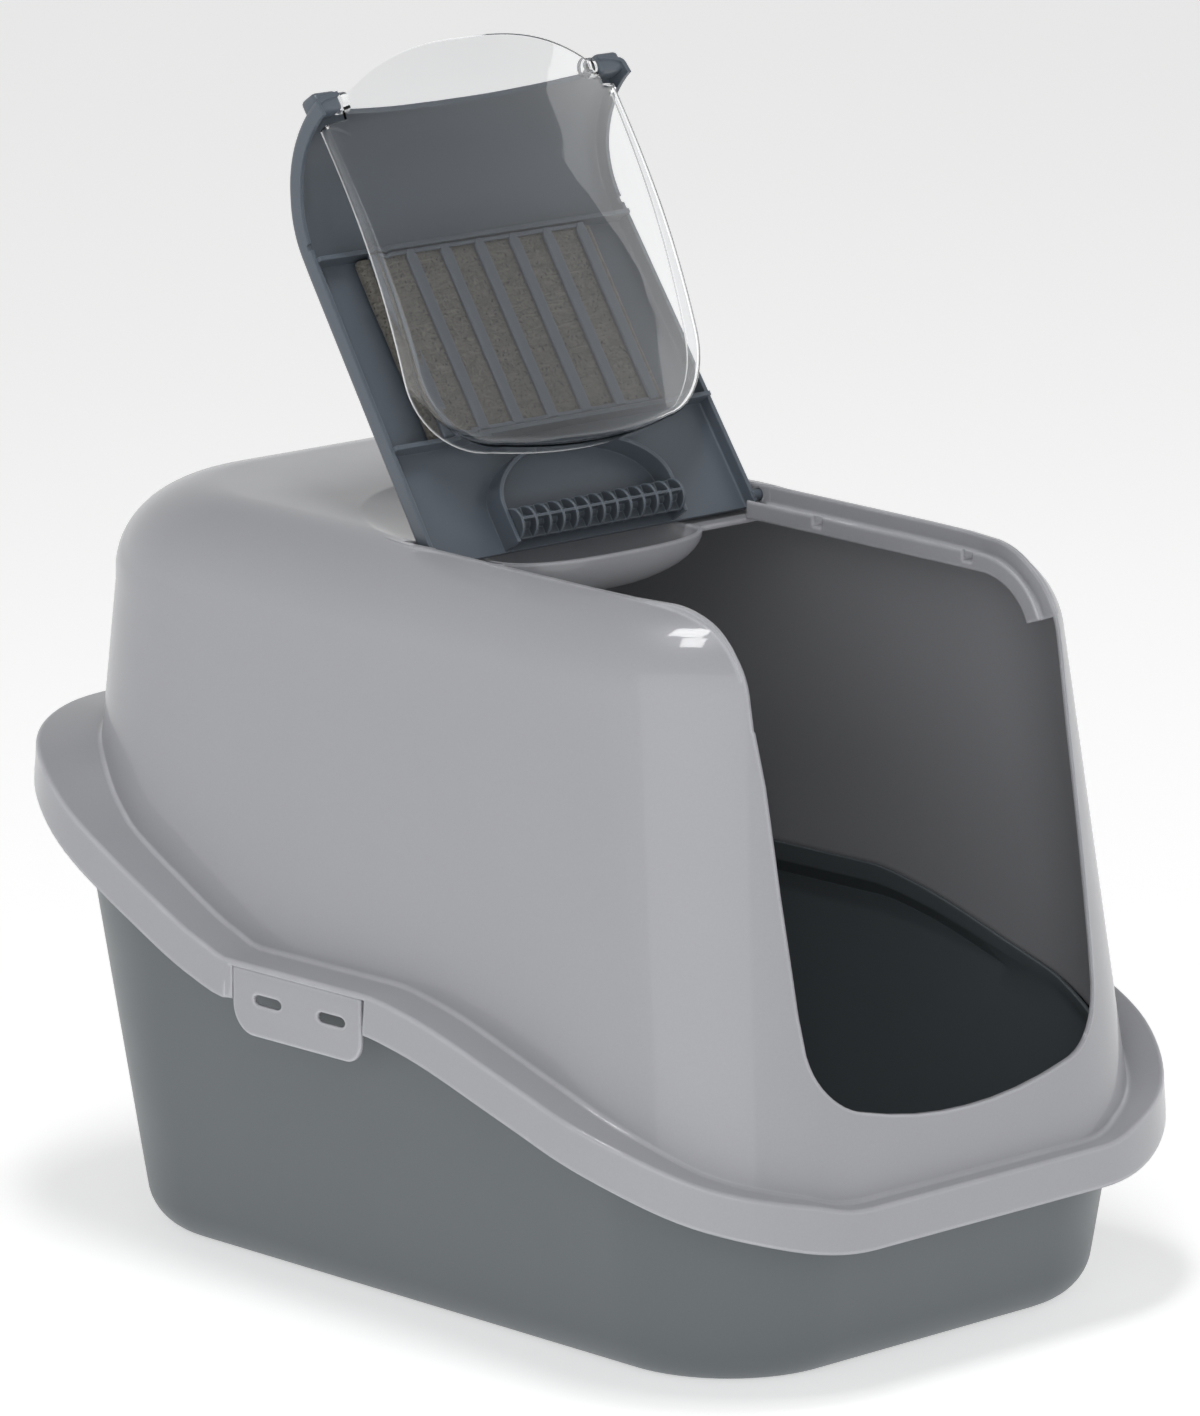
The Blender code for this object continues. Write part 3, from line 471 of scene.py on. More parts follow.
def half_bowl(name, grow, top, sides=72):
    """Lower half of an oval dish, carried straight up to the height top."""
    rings = []
    for angle in np.linspace(6, 90, 13):
        a = math.radians(angle)
        rings.append([
            (
                (BOWL_HALF + grow) * math.sin(a) * squared(math.cos(math.tau * k / sides)),
                BOWL_Y + (BOWL_REACH + grow) * math.sin(a) * squared(math.sin(math.tau * k / sides)),
                BOWL_RIM_Z - (BOWL_DEPTH + grow) * math.cos(a),
            )
            for k in range(sides)
        ])
    rings.append([(x, y, top) for x, y, _ in rings[-1]])
    return loft(name, rings)


def recess_disc(name, grow, radius, drop, top, sides=120):
    """Shallow dish that follows the roof's slope: a lens below it, straight sides above it."""
    rings = []
    for share in (0.06, 0.20, 0.34, 0.48, 0.60, 0.70, 0.79, 0.87, 0.93, 0.965, 0.985, 1.0):
        rings.append([
            (
                radius * share * math.cos(math.tau * k / sides),
                radius * share * math.sin(math.tau * k / sides),
                roof_z(radius * share * math.sin(math.tau * k / sides)) - drop * (1.0 - share ** 5) - grow,
            )
            for k in range(sides)
        ])
    rings.append([(x, y, roof_z(y) + top) for x, y, _ in rings[-1]])
    return loft(name, rings)


def skirt_step(side):
    """Cutter that rounds the skirt's end down to the clip's face behind the clip."""
    start, deep, flat, reach, away = CLIP_Y[1] + GAP, CLIP_X[1] + 0.0001, 0.0010, 0.0034, CLIP_CUT_X[1]
    points = [(away, start), (deep, start), (deep, start + flat)]
    for angle in np.linspace(0, 90, 9):
        a = math.radians(angle)
        x = WIDTH / 2 - (WIDTH / 2 - deep) * math.cos(a)
        points.append((x, start + flat + reach * math.sin(a) ** 2))
    points.append((away, start + flat + reach))
    rings = [[(side * x, y, z) for x, y in points] for z in (CLIP_CUT_Z, CLIP_TOP + GAP)]
    return loft(f"skirt_step_{side + 1}", rings)


def make_hood():
    rings = [flange_ring(0.0, 0.0), flange_ring(-0.0002, 0.005), flange_ring(-0.0008, 0.011)]
    for angle in np.linspace(0, 90, 9):
        a = math.radians(angle)
        rings.append(flange_ring(
            -0.0012 - LEDGE_ROUND * (1.0 - math.cos(a)), SKIRT - LEDGE_ROUND * (1.0 - math.sin(a))
        ))
    foot = body_ring(lambda p: rim_z(p, SKIRT), BASE_FILLET)
    start = rings[-1]
    for share in (0.25, 0.5, 0.75):
        points = start + (foot - start) * share
        points[:, 2] = rim_z(points, SKIRT)
        rings.append(points)
    for angle in np.linspace(0, 90, 7):
        a = math.radians(angle)
        up, out = BASE_FILLET * (1.0 - math.cos(a)), BASE_FILLET * (1.0 - math.sin(a))
        rings.append(body_ring(lambda p, up=up: rim_z(p, SKIRT) + up, out))
    for part in np.linspace(0.12, 1.0, 9):
        rings.append(body_ring(
            lambda p, part=part: (rim_z(p, SKIRT) + BASE_FILLET) * (1 - part) + part * BODY_HIGH_Z
        ))
    rings += [shoulder_ring(angle) for angle in np.linspace(5, 90, 18)]
    hood = loft("hood_shell", rings, cap_start=False)
    solidify(hood, WALL)
    join(hood, recess_disc("recess_backing", WALL, RECESS_RADIUS + 0.002, RECESS_DEPTH, -0.0008))
    pocket = [[(x, y, z) for x, y in pocket_outline()] for z in (POCKET_LOW_Z, ABOVE_ROOF_Z)]
    cut(hood, loft("pocket", pocket))
    (beam_front, beam_rear), (beam_low, beam_high) = HINGE_BEAM_Y, HINGE_BEAM_Z
    (wall_low, wall_high), (cheek_low, cheek_high) = HINGE_WALL_Z, HINGE_CHEEK_Z
    added = [
        box("hinge_beam", (-HINGE_BEAM_HALF, beam_front, beam_low), (HINGE_BEAM_HALF, beam_rear, beam_high)),
        box(
            "hinge_wall", (-HINGE_WALL_HALF, POCKET_REAR_Y, wall_low),
            (HINGE_WALL_HALF, POCKET_REAR_Y + WALL, wall_high),
        ),
        half_bowl("bowl_outer", WALL, BOWL_RIM_Z),
    ]
    removed = [
        recess_disc("recess", 0.0, RECESS_RADIUS, RECESS_DEPTH, 0.04),
        half_bowl("bowl_inner", 0.0, 0.42),
        loft("doorway", [[(x, y, z) for x, z in doorway_outline()] for y in (-0.350, -0.150)]),
    ]
    for side in (-1, 1):
        cheek = sorted((side * (POCKET_HALF - 0.0004), side * (POCKET_HALF + WALL)))
        added.append(side_strip(f"pocket_side_{side + 1}", side))
        low = (cheek[0], HINGE_CHEEK_Y[0], cheek_low)
        added.append(box(f"hinge_cheek_{side + 1}", low, (cheek[1], HINGE_CHEEK_Y[1], cheek_high)))
        socket = sorted((side * (POCKET_HALF - 0.002), side * (POCKET_HALF + 0.006)))
        removed.append(rod(f"hinge_socket_{side + 1}", STUB_RADIUS + 0.0004, socket, HINGE.y, HINGE.z, 24))
        for s in RIB_S:
            reach = sorted((side * (RAIL_IN - 0.004), side * (lid_half(s) + 0.0015)))
            low = (reach[0], -s - NOTCH_HALF, roof_z(-s) - LEDGE_DEPTH - 0.0017)
            high = (reach[1], -s + NOTCH_HALF, NOTCH_TOP_Z)
            removed.append(box(f"notch_{side + 1}_{int(s * 1e4)}", low, high))
        reach = sorted(side * x for x in CLIP_CUT_X)
        low = (reach[0], CLIP_Y[0] - CLIP_GAP_Y[0], CLIP_CUT_Z)
        high = (reach[1], CLIP_Y[1] + CLIP_GAP_Y[1], CLIP_TOP + GAP)
        removed.append(box(f"clip_gap_{side + 1}", low, high))
        removed.append(skirt_step(side))
    join(hood, *added)
    cut(hood, *removed)
    return smooth(hood)


# ---- lid (closed, in the hinge's frame: Y = -s, Z = -depth)
def lid_half(s):
    middle = RIB_S[1]
    if s < middle:
        return LID_HALF + (LID_HALF_MID - LID_HALF) * max(s / middle, 0.0)
    return LID_HALF_MID + (LID_HALF_TIP - LID_HALF_MID) * min((s - middle) / 0.036, 1.0)


FLAT_ROWS, CURL_ROWS = 14, 30


def lid_profile(share, row, inset=0.0):
    """Point (s, depth) of the lid's outer surface moved inwards by inset, at one row."""
    front = LID_FRONT + (LID_FRONT_SIDE - LID_FRONT) * abs(share) ** 2.2
    start = front - LID_CURL
    if row <= FLAT_ROWS:
        return LID_BACK + (start - LID_BACK) * row / FLAT_ROWS, LID_TOP + inset
    last = math.acos(1.0 - (LID_TIP - LID_TOP) / LID_CURL)
    a = last * (row - FLAT_ROWS) / CURL_ROWS
    radius = LID_CURL - inset
    return start + radius * math.sin(a), LID_TOP + LID_CURL - radius * math.cos(a)


def front_arch():
    """Cutter that leaves an arched edge between the lid's two arms."""
    half = ARM_SHARE * LID_HALF_TIP
    edge = []
    for share in np.linspace(-1.0, 1.0, 49):
        rise = LID_EDGE_MID + (LID_EDGE_SIDE - LID_EDGE_MID) * abs(share) ** 2.4
        edge.append((share * half, rise))
    shape = edge + [(half, LID_TIP + 0.02), (-half, LID_TIP + 0.02)]
    return loft("front_arch", [[(x, -s, -depth) for x, depth in shape] for s in (0.175, 0.275)])


def make_lid():
    inner = [0.08 * k for k in range(1, 12)] + [0.92, 0.95]
    edge = []
    for angle in (0, 22, 45, 67, 90):
        a = math.radians(angle)
        edge.append((LID_ROUND * (1.0 - math.sin(a)), LID_ROUND * (1.0 - math.cos(a))))
    rows = []
    for row in range(FLAT_ROWS + CURL_ROWS + 1):
        right = []
        for share in inner:
            s, depth = lid_profile(share, row)
            right.append((share * lid_half(s), -s, -depth))
        for pull, inset in edge:
            s, depth = lid_profile(1.0, row, inset)
            right.append((lid_half(s) - pull, -s, -depth))
        s, depth = lid_profile(1.0, row, LID_RIM - LID_TOP)
        right.append((lid_half(s), -s, -depth))
        s, depth = lid_profile(0.0, row)
        rows.append([(-x, y, z) for x, y, z in reversed(right)] + [(0.0, -s, -depth)] + right)
    lid = grid("lid_shell", rows)
    if sum(f.normal.z for f in lid.data.polygons) < 0.0:
        lid.data.flip_normals()
    solidify(lid, LID_WALL)
    cut(lid, front_arch())
    added, removed = [finger_ring()], []
    for number, s in enumerate(RIB_S, 1):
        reach = lid_half(s) - LID_WALL + 0.0006
        low = (-reach, -s - RIB_THICK / 2, -RIB_DEPTH)
        added.append(box(f"lid_rib_{number}", low, (reach, -s + RIB_THICK / 2, -LID_TOP - 0.0010)))
    for side in (-1, 1):
        reach = sorted((side * EAR_X[0], side * EAR_X[1]))
        low = (reach[0], -EAR_S[1], -EAR_DEPTH[1])
        added.append(box(f"lid_ear_{side + 1}", low, (reach[1], -EAR_S[0], -EAR_DEPTH[0]), 0.0026))
        stub = sorted((side * (LID_HALF - 0.0018), side * (POCKET_HALF + 0.0012)))
        added.append(rod(f"hinge_stub_{side + 1}", STUB_RADIUS, stub, 0.0, 0.0, 24))
        bore = sorted((side * (EAR_X[0] - 0.001), side * 0.0995))
        removed.append(rod(f"pin_bore_{side + 1}", PIN_HOLE, bore, -PIVOT_S, -PIVOT_DEPTH, 24))
        notch = sorted((side * (LID_HALF_MID - 0.004), side * (LID_HALF_MID + 0.004)))
        low, high = (notch[0], -0.1715, -0.0026), (notch[1], -0.1680, -0.0006)
        removed.append(box(f"wall_notch_{side + 1}", low, high))
    join(lid, *added)
    cut(lid, *removed)
    return smooth(lid)


def finger_ring(steps=48):
    """Arched wall on the lid's underside, open at the hinge, whose legs hold the grip's ends."""
    outer, inner, wall, leg_end = [], [], 0.0022, -LID_BACK - 0.0006
    for target, trim in ((outer, 0.0), (inner, wall)):
        half, reach = RING_HALF - trim, RING_REACH - trim
        target.append((half, leg_end))
        for k in range(steps + 1):
            a = math.pi * k / steps
            target.append((half * math.cos(a), -RING_CENTRE - reach * math.sin(a)))
        target.append((-half, leg_end))
    shape = outer + inner[::-1]
    return loft("finger_ring", [[(x, y, -d) for x, y in shape] for d in (LID_TOP + 0.001, RING_DEPTH)])


def make_grip():
    """Ribbed grip: a turned core with thin discs, and a cross web through them."""
    thick, core, soft, sides = 0.0016, 0.0036, 0.0003, 40
    pitch = (2 * GRIP_HALF - thick) / (DISC_COUNT - 1)
    profile = []
    for k in range(DISC_COUNT):
        start = -GRIP_HALF + k * pitch
        profile += [
            (GRIP_RADIUS - soft, start), (GRIP_RADIUS, start + soft), (GRIP_RADIUS, start + thick - soft),
            (GRIP_RADIUS - soft, start + thick),
        ]
        if k < DISC_COUNT - 1:
            profile += [(core, start + thick), (core, start + pitch)]
    rings = []
    for radius, x in profile:
        rings.append([
            (
                x,
                -GRIP_S + radius * math.cos(math.tau * k / sides),
                -GRIP_DEPTH + radius * math.sin(math.tau * k / sides),
            )
            for k in range(sides)
        ])
    grip = loft("carry_grip_ribs", rings)
    half, webs = GRIP_HALF - 0.0004, []
    for label, y, z in (("flat", GRIP_RADIUS - 0.0003, 0.0007), ("tall", 0.0007, GRIP_RADIUS - 0.0003)):
        low, high = (-half, -GRIP_S - y, -GRIP_DEPTH - z), (half, -GRIP_S + y, -GRIP_DEPTH + z)
        webs.append(box(f"grip_web_{label}", low, high))
    join(grip, *webs)
    return smooth(grip)


PAD_START, PAD_STOP = RIB_S[0] + RIB_THICK / 2 + 0.0006, RIB_S[1] - RIB_THICK / 2 - 0.0006
PAD_TOP = LID_TOP + LID_WALL + GAP


def make_pad():
    """Felt pad with soft edges and an uneven face, nowhere larger than the CAD's block."""
    size = Vector((2 * PAD_HALF, PAD_STOP - PAD_START, PAD_THICK))
    centre = Vector((0.0, -(PAD_START + PAD_STOP) / 2, -PAD_TOP - PAD_THICK / 2))
    bm = bmesh.new()
    bmesh.ops.create_cube(bm, size=1.0)
    for axis, cuts in ((0, 90), (1, 56), (2, 4)):
        edges = [e for e in bm.edges if abs((e.verts[0].co - e.verts[1].co)[axis]) > 0.9]
        bmesh.ops.subdivide_edges(bm, edges=edges, cuts=cuts, use_grid_fill=True)
    radius = 0.0030
    for vert in bm.verts:
        p = Vector([vert.co[i] * size[i] for i in range(3)])
        core = Vector([max(min(p[i], size[i] / 2 - radius), radius - size[i] / 2) for i in range(3)])
        away = p - core
        if away.length > 1e-9:
            p = core + away.normalized() * radius
        rough = noise.noise(p * 260.0) * 0.00022 + noise.noise(p * 70.0) * 0.00030
        away = away.normalized() if away.length > 1e-9 else Vector((0, 0, 1))
        vert.co = p + centre + away * min(rough - 0.0003, 0.0)
    return smooth(from_bmesh("carbon_filter_felt", bm), 80)


def make_grille():
    """Slats across the pad, pointed where they meet the upper rib, with a thin strip at each end."""
    low = PAD_TOP + PAD_THICK + GAP
    pieces = []
    for k in range(BAR_COUNT):
        x = (k - (BAR_COUNT - 1) / 2) * BAR_PITCH
        start, stop, half = PAD_START + 0.0006, PAD_STOP - 0.0002, BAR_WIDTH / 2
        shape = [(x - half, start), (x + half, start), (x + half, stop - 0.004), (x + half * 0.45, stop),
                 (x - half * 0.45, stop), (x - half, stop - 0.004)]
        rings = [
            [(px + (x - px) * pull, -s, -d) for px, s in shape]
            for d, pull in ((low, 0.0), (low + BAR_THICK - 0.0005, 0.0), (low + BAR_THICK, 0.14))
        ]
        pieces.append(loft(f"bar_{k}", rings))
    width = (BAR_COUNT - 1) * BAR_PITCH / 2 + BAR_WIDTH / 2
    for near, far in ((PAD_START, PAD_START + 0.0022), (PAD_STOP - 0.0022, PAD_STOP)):
        pieces.append(box(f"strip_{near:.3f}", (-width, -far, -low - 0.0012), (width, -near, -low), 0.0003))
    grille = pieces[0]
    grille.name = "filter_grille_slats"
    join(grille, *pieces[1:])
    return smooth(grille)


# ---- door flap (hanging, in the pivots' frame)
def door_point(across, fall):
    """Point on the flap's outer face: bowed outwards across, and a little along its height."""
    share = min(abs(across) / DOOR_HALF, 1.0)
    belly = math.sin(math.pi * min(max(fall / DOOR_TALL, 0.0), 1.0))
    out = DOOR_BULGE * (1.0 - share * share) + 0.006 * belly * share * share + 0.004 * belly
    if fall < 0.0:
        out -= 0.30 * abs(fall) * (1.0 - share)
    return Vector((across * (1.0 - 0.015 * fall / DOOR_TALL), -out, -fall))


def door_outline(steps=40):
    """The flap's edge seen from the front, as (x, fall, fold): fold is 1 where the edge is turned back."""
    points = []
    for k in range(steps + 1):
        share = -1.0 + 2.0 * k / steps
        points.append((share * LUG_X[1], -DOOR_ARCH * (1.0 - abs(share) ** 2.6), 0.12))
    right = [(LUG_X[1], 0.0055, 0.12), (LUG_X[1] + 0.0006, 0.0102, 0.12), (DOOR_HALF - 0.0012, 0.0108, 0.3)]
    for t in np.linspace(0.0, 1.0, 24):
        right.append((DOOR_HALF - 0.0015 * t, 0.0120 + (DOOR_TALL - 0.062) * t, 1.0))
    side, low = right[-1][0], right[-1][1]
    for angle in np.linspace(6, 84, 14):
        a = math.radians(angle)
        right.append((side - 0.046 * (1.0 - math.cos(a)), low + 0.044 * math.sin(a), 1.0))
    end = right[-1]
    right += [(end[0] * (1.0 - t), end[1] + (DOOR_TALL - end[1]) * (1.0 - (1.0 - t) ** 2), 1.0)
              for t in np.linspace(0.08, 1.0, 12)]
    return points + right + [(-x, fall, fold) for x, fall, fold in reversed(right[:-1])]


def make_door():
    """Bowed sheet whose sides and foot turn back, with a lug and a pin at each pivot."""
    shape = np.array(door_outline())
    edge, turn = shape[:, :2], math.pi / 2 * shape[:, 2]
    depth = (0.0020 + 0.0085 * np.clip(edge[:, 1] / DOOR_TALL, 0.0, 1.0) ** 1.5) * shape[:, 2]
    ahead = np.roll(edge, -1, 0) - np.roll(edge, 1, 0)
    out = np.stack([-ahead[:, 1], ahead[:, 0]], 1) / np.linalg.norm(ahead, axis=1)[:, None]
    centre = np.array((0.0, 0.085))
    if (out * (edge - centre)).sum() < 0.0:
        out = -out
    start = edge - out * (DOOR_FOLD * np.sin(turn))[:, None]
    soft, smoothing_passes = start, 14
    for _ in range(smoothing_passes):
        soft = (np.roll(soft, 1, 0) + 2 * soft + np.roll(soft, -1, 0)) / 4

    def face_ring(share, inner):
        spots = centre + (soft + (start - soft) * share ** 6 - centre) * share
        return [door_point(*spot) + Vector((0.0, inner * DOOR_THICK, 0.0)) for spot in spots]

    def fold_ring(part, run, inner):
        """Part of the way round the bend, then some way along the edge that is turned back."""
        radius = DOOR_FOLD - inner * DOOR_THICK
        row = []
        for p, way, angle, back in zip(face_ring(1.0, 0), out, turn * part, depth * run):
            along = radius * math.sin(angle) + back * math.cos(angle)
            deep = DOOR_FOLD - radius * math.cos(angle) + back * math.sin(angle)
            row.append(p + Vector((way[0] * along, deep, -way[1] * along)))
        return row

    shares = (0.04, 0.14, 0.26, 0.38, 0.50, 0.62, 0.74, 0.84, 0.92, 0.97, 1.0)
    bends = [(0.2 * k, 0.0) for k in range(1, 6)] + [(1.0, 0.5), (1.0, 1.0)]
    rings = [face_ring(share, 0) for share in shares] + [fold_ring(*bend, 0) for bend in bends]
    rings += [fold_ring(*bend, 1) for bend in reversed(bends)]
    rings += [face_ring(share, 1) for share in reversed(shares)]
    door = loft("door_flap_clear", rings)
    added = []
    for side in (-1, 1):
        lug = sorted((side * LUG_X[0], side * LUG_X[1]))
        pin = sorted((side * (LUG_X[0] + 0.001), side * PIN_END))
        added.append(rod(f"lug_{side + 1}", LUG_RADIUS, lug, 0.0, 0.0))
        added.append(rod(f"pin_{side + 1}", PIN_RADIUS, pin, 0.0, 0.0))
    join(door, *added)
    return smooth(door, 45)


# ---- side clips
def stadium(name, centre_y, centre_z, size, x_range):
    """Cutter for a slot with long rounded ends."""
    length, height = size
    end = 0.8 * height
    points = []
    for turn, side in ((-90, 1), (90, -1)):
        for k in range(13):
            a = math.radians(turn + 180 * k / 12)
            points.append((
                centre_y + side * (length / 2 - end) + end * math.cos(a),
                centre_z + height / 2 * math.sin(a),
            ))
    return prism_x(name, points, x_range)


def make_clip(side, label):
    (front, rear), (round_front, round_rear) = CLIP_Y, CLIP_RADIUS
    shape = [(front, CLIP_TOP), (rear, CLIP_TOP)]
    for turn, radius, cy in ((0, round_rear, rear - round_rear), (-90, round_front, front + round_front)):
        for k in range(17):
            a = math.radians(turn - 90 * k / 16)
            shape.append((cy + radius * math.cos(a), CLIP_LOW + radius + radius * math.sin(a)))
    clip = prism_x(f"side_clip_tab_{label}", shape, sorted(side * x for x in CLIP_X))
    hole = sorted((side * (CLIP_X[0] - 0.01), side * (CLIP_X[1] + 0.01)))
    cut(clip, *[stadium(f"slot_{n}", y, SLOT_Z, SLOT_SIZE, hole) for n, y in enumerate(SLOT_Y)])
    bevel = clip.modifiers.new("edges", "BEVEL")
    bevel.width, bevel.segments = CLIP_BEVEL, 3
    bevel.limit_method, bevel.angle_limit = "ANGLE", math.radians(50)
    apply_modifiers(clip)
    return smooth(clip)


# ---- materials
class Shader:
    """Builds one Principled material node by node."""

    def __init__(self, name):
        self.material = bpy.data.materials.new(name)
        self.material.use_nodes = True
        self.tree = self.material.node_tree
        self.shader = self.tree.nodes["Principled BSDF"]
        self.place = self.node("ShaderNodeTexCoord").outputs["Object"]

    def node(self, kind, **settings):
        made = self.tree.nodes.new(kind)
        for key, value in settings.items():
            setattr(made, key, value)
        return made

    def link(self, source, target):
        self.tree.links.new(source, target)

    def put(self, socket, value):
        if isinstance(value, bpy.types.NodeSocket):
            self.link(value, socket)
        else:
            socket.default_value = value

    def noise(self, scale, detail=2.0, roughness=0.5, stretch=None, distortion=0.0):
        source = self.place
        if stretch:
            mapping = self.node("ShaderNodeMapping")
            mapping.inputs["Scale"].default_value = stretch
            self.link(self.place, mapping.inputs["Vector"])
            source = mapping.outputs["Vector"]
        made = self.node("ShaderNodeTexNoise")
        made.inputs["Scale"].default_value = scale
        made.inputs["Detail"].default_value = detail
        made.inputs["Roughness"].default_value = roughness
        made.inputs["Distortion"].default_value = distortion
        self.link(source, made.inputs["Vector"])
        return made.outputs["Fac"]

    def remap(self, value, low, high, to_low, to_high):
        made = self.node("ShaderNodeMapRange")
        self.put(made.inputs["Value"], value)
        for key, number in (("From Min", low), ("From Max", high), ("To Min", to_low), ("To Max", to_high)):
            made.inputs[key].default_value = number
        return made.outputs["Result"]

    def math(self, operation, a, b):
        made = self.node("ShaderNodeMath", operation=operation)
        self.put(made.inputs[0], a)
        self.put(made.inputs[1], b)
        return made.outputs[0]

    def mix(self, share, a, b):
        made = self.node("ShaderNodeMix", data_type="RGBA")
        self.put(made.inputs[0], share)
        self.put(made.inputs[6], a)
        self.put(made.inputs[7], b)
        return made.outputs[2]

    def edges(self, radius):
        """0 on open surfaces to 1 on edges, the mask for edge wear and a painted edge highlight, and the
        normal that rounds the edge.
        """
        bevel = self.node("ShaderNodeBevel", samples=4)
        bevel.inputs["Radius"].default_value = radius
        geometry = self.node("ShaderNodeNewGeometry")
        dot = self.node("ShaderNodeVectorMath", operation="DOT_PRODUCT")
        self.link(bevel.outputs["Normal"], dot.inputs[0])
        self.link(geometry.outputs["Normal"], dot.inputs[1])
        return self.remap(dot.outputs["Value"], 0.995, 0.93, 0.0, 1.0), bevel.outputs["Normal"]

    def bump(self, height, strength, distance, normal=None):
        made = self.node("ShaderNodeBump")
        made.inputs["Strength"].default_value = strength
        made.inputs["Distance"].default_value = distance
        self.put(made.inputs["Height"], height)
        if normal is not None:
            self.link(normal, made.inputs["Normal"])
        return made.outputs["Normal"]


def shade(color, factor):
    return tuple(min(c * factor, 1.0) for c in color) + (1.0,)


def moulded_plastic(name, color, roughness, grain, edge, edge_width=0.0009, coat=0.0, specular=0.5):
    """Injection-moulded plastic: fine grain, slow waviness and paler edges, partly wear and partly a painted
    highlight, glossier with a coat.

    grain is the fine bump's strength, edge the factor on the color at edges of edge_width metres, which
    paints a highlight there as well as wear.
    """
    s = Shader(name)
    wear_and_highlight_edges, rounded = s.edges(edge_width)
    cloud = s.remap(s.noise(7.0, 4.0, 0.55), 0.3, 0.7, 0.0, 1.0)
    base = s.mix(cloud, shade(color, 0.985), shade(color, 1.015))
    speck = s.remap(s.noise(950.0, 2.0), 0.35, 0.65, 0.0, 0.22)
    base = s.mix(speck, base, shade(color, 0.90))
    wear_and_highlight = s.math("MULTIPLY", wear_and_highlight_edges, s.remap(s.noise(55.0, 3.0), 0.3, 0.6, 0.70, 1.0))
    # edges paled by the factor edge: partly wear, partly a painted highlight line along the edges
    base = s.mix(wear_and_highlight, base, shade(color, edge))
    s.link(base, s.shader.inputs["Base Color"])
    rough = s.remap(s.noise(24.0, 4.0), 0.3, 0.7, roughness - 0.02, roughness + 0.03)
    s.link(s.math("ADD", rough, s.math("MULTIPLY", wear_and_highlight, 0.06)), s.shader.inputs["Roughness"])
    normal = s.bump(s.noise(11.0, 1.0), 0.05, 0.004, rounded)
    normal = s.bump(s.noise(1500.0, 2.0, 0.6), grain, 0.0004, normal)
    s.link(normal, s.shader.inputs["Normal"])
    s.shader.inputs["Metallic"].default_value = 0.0
    s.shader.inputs["Specular IOR Level"].default_value = specular
    s.shader.inputs["Coat Weight"].default_value = coat
    s.shader.inputs["Coat Roughness"].default_value = 0.05
    return s.material


def clear_plastic(name):
    """Clear polystyrene: polished, with a faint haze, a slow ripple and a few hairline scratches."""
    s = Shader(name)
    s.shader.inputs["Base Color"].default_value = (0.965, 0.972, 0.978, 1.0)
    s.shader.inputs["Transmission Weight"].default_value = 1.0
    s.shader.inputs["IOR"].default_value = 1.57
    s.shader.inputs["Metallic"].default_value = 0.0
    haze = s.remap(s.noise(18.0, 1.0, 0.5), 0.45, 0.75, 0.010, 0.03)
    hairs = s.noise(70.0, 2.0, 0.5, stretch=(14.0, 1.0, 1.0), distortion=0.3)
    scratch = s.remap(hairs, 0.70, 0.76, 0.0, 0.10)
    s.link(s.math("ADD", haze, scratch), s.shader.inputs["Roughness"])
    s.link(s.bump(s.noise(14.0, 2.0), 0.08, 0.004), s.shader.inputs["Normal"])
    return s.material


def felt(name, color):
    """Needled felt filled with charcoal: crossing fibres, dark specks and a dry sheen."""
    s = Shader(name)
    fibre_a = s.noise(420.0, 3.0, 0.6, stretch=(1.0, 0.16, 1.0), distortion=1.2)
    fibre_b = s.noise(420.0, 3.0, 0.6, stretch=(0.16, 1.0, 1.0), distortion=1.2)
    fibre = s.math("MAXIMUM", fibre_a, fibre_b)
    base = s.mix(s.remap(fibre, 0.42, 0.68, 0.0, 1.0), shade(color, 0.62), shade(color, 1.40))
    base = s.mix(s.remap(s.noise(26.0, 3.0), 0.35, 0.7, 0.0, 0.45), base, shade(color, 0.80))
    base = s.mix(s.remap(s.noise(620.0, 1.0), 0.62, 0.70, 0.0, 0.8), base, (0.012, 0.012, 0.012, 1.0))
    s.link(base, s.shader.inputs["Base Color"])
    s.link(s.remap(fibre, 0.3, 0.7, 0.98, 0.86), s.shader.inputs["Roughness"])
    s.shader.inputs["Sheen Weight"].default_value = 0.25
    s.shader.inputs["Sheen Roughness"].default_value = 0.6
    s.shader.inputs["Specular IOR Level"].default_value = 0.2
    normal = s.bump(fibre, 0.55, 0.0006)
    s.link(s.bump(s.noise(120.0, 3.0), 0.30, 0.0010, normal), s.shader.inputs["Normal"])
    return s.material


HOOD_COLOR = (0.362, 0.366, 0.388)
TRAY_COLOR = (0.111, 0.127, 0.136)
LID_COLOR = (0.098, 0.118, 0.142)
GRIP_COLOR = (0.070, 0.084, 0.100)
SLAT_COLOR = (0.118, 0.140, 0.168)
FELT_COLOR = (0.135, 0.128, 0.112)
# edge above 1 pales the edges: partly wear, mostly a painted highlight line along the rims
HOOD_FINISH = moulded_plastic(
    "hood_plastic", HOOD_COLOR, 0.34, grain=0.02, edge=1.70, edge_width=0.0028, coat=0.50, specular=0.3
)
TRAY_FINISH = moulded_plastic("tray_plastic", TRAY_COLOR, 0.40, grain=0.06, edge=2.0, edge_width=0.0012)
LID_FINISH = moulded_plastic("lid_plastic", LID_COLOR, 0.32, grain=0.05, edge=1.35)
GRIP_FINISH = moulded_plastic("grip_plastic", GRIP_COLOR, 0.36, grain=0.05, edge=2.4)
SLAT_FINISH = moulded_plastic("slat_plastic", SLAT_COLOR, 0.38, grain=0.06, edge=1.2)
CLEAR_FINISH = clear_plastic("clear_plastic")
FELT_FINISH = felt("charcoal_felt", FELT_COLOR)

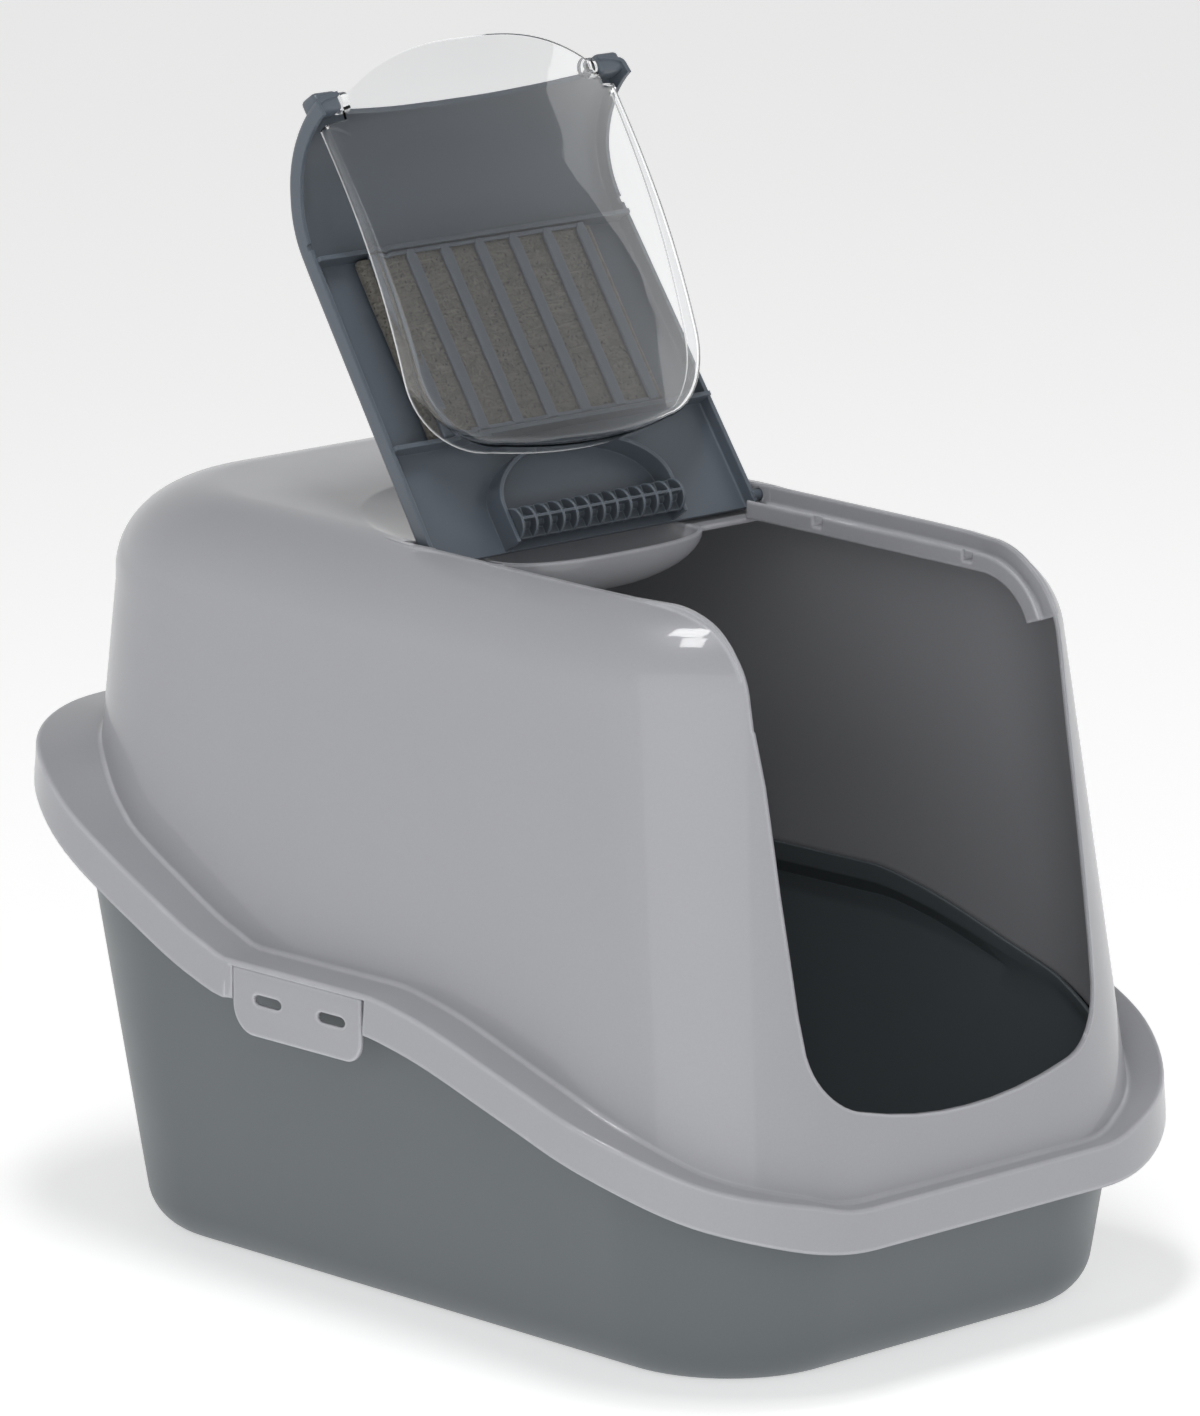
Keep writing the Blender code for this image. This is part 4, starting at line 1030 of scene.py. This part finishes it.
# ---- pieces
dress(make_tray(), "tray", ["tray"], TRAY_FINISH)
dress(make_hood(), "hood", ["hood"], HOOD_FINISH)
dress(make_lid(), "lid", ["lid"], LID_FINISH, LID_FRAME)
dress(make_grip(), "lid", ["carry_grip"], GRIP_FINISH, LID_FRAME)
dress(make_grille(), "lid", ["filter_grille"], SLAT_FINISH, LID_FRAME)
pad = dress(make_pad(), "lid", ["carbon_filter"], FELT_FINISH, LID_FRAME)
dress(make_door(), "door", ["door_flap"], CLEAR_FINISH, DOOR_FRAME)
for side, label in ((-1, "left"), (1, "right")):
    dress(make_clip(side, label), f"clip_{label}", [f"side_clip_{label}"], HOOD_FINISH)


# ---- floor, light and camera
WHITE, FLOOR_HALF, FLOOR_THICK, FLOOR_GLOW = (1.0, 1.0, 1.0, 1.0), 20.0, 0.02, 0.48
SKY_LOW, SKY_TOP = 0.94, 0.02
LIGHTS_TARGET = (0.0, 0.0, 0.22)
LIGHTS = (
    ("overhead", (-0.25, -0.10, 2.4), (0.4, 0.4), 10.0),
    ("key", (-2.6, -2.2, 1.2), (3.4, 2.4), 24.0),
    ("window", (-0.58, -0.44, 2.35), (0.30, 0.45), 8.0),
    ("right", (2.9, -0.5, 1.25), (1.6, 1.6), 6.0),
)
CAMERA_PLACE, CAMERA_LENS = (-2.97495, -3.10726, 1.23951), 222.2
CAMERA_AZIMUTH, CAMERA_ELEVATION = math.radians(-43.794), math.radians(12.561)


def make_floor():
    """Pale floor that glows a little, so that it is white round the box as in the photograph."""
    floor = box("floor", (-FLOOR_HALF, -FLOOR_HALF, -FLOOR_THICK), (FLOOR_HALF, FLOOR_HALF, 0.0))
    s = Shader("pale_floor")
    base = s.mix(s.noise(0.8, 3.0), shade(WHITE[:3], 0.88), shade(WHITE[:3], 0.91))
    s.link(base, s.shader.inputs["Base Color"])
    s.shader.inputs["Roughness"].default_value = 0.9
    s.shader.inputs["Emission Color"].default_value = WHITE
    s.shader.inputs["Emission Strength"].default_value = FLOOR_GLOW
    floor.data.materials.append(s.material)


def area_light(name, location, size, power):
    data = bpy.data.lights.new(name, "AREA")
    data.shape, data.size, data.size_y = "RECTANGLE", size[0], size[1]
    data.energy = power
    lamp = add(name, data)
    lamp.location = location
    lamp.rotation_euler = (Vector(LIGHTS_TARGET) - Vector(location)).to_track_quat("-Z", "Y").to_euler()


def make_world():
    """White light from all round that fades from the horizon to the zenith, so that roofs look darker."""
    world = bpy.data.worlds.new("studio")
    bpy.context.scene.world = world
    world.use_nodes = True
    tree = world.node_tree
    back = tree.nodes["Background"]
    back.inputs["Color"].default_value = WHITE
    kinds = ("TexCoord", "SeparateXYZ", "MapRange")
    sky, split, fade = (tree.nodes.new(f"ShaderNode{kind}") for kind in kinds)
    for key, number in (("From Min", 0.0), ("From Max", 1.0), ("To Min", SKY_LOW), ("To Max", SKY_TOP)):
        fade.inputs[key].default_value = number
    tree.links.new(sky.outputs["Generated"], split.inputs[0])
    tree.links.new(split.outputs["Z"], fade.inputs["Value"])
    tree.links.new(fade.outputs["Result"], back.inputs["Strength"])


def make_camera():
    """Camera at the place and angles solved from the photograph."""
    data = bpy.data.cameras.new("camera")
    data.lens, data.sensor_width, data.sensor_fit = CAMERA_LENS, 36.0, "AUTO"
    data.clip_start, data.clip_end = 0.1, 40.0
    camera = add("camera", data)
    level = Vector((math.sin(CAMERA_AZIMUTH), -math.cos(CAMERA_AZIMUTH), 0.0)) * math.cos(CAMERA_ELEVATION)
    back = level + Vector((0.0, 0.0, math.sin(CAMERA_ELEVATION)))
    right = Vector((math.cos(CAMERA_AZIMUTH), math.sin(CAMERA_AZIMUTH), 0.0))
    turn = Matrix((right, back.cross(right), back)).transposed().to_4x4()
    camera.matrix_world = Matrix.Translation(CAMERA_PLACE) @ turn
    bpy.context.scene.camera = camera


make_floor()
make_world()
for light in LIGHTS:
    area_light(*light)
make_camera()
bpy.context.scene.view_settings.view_transform = "Standard"
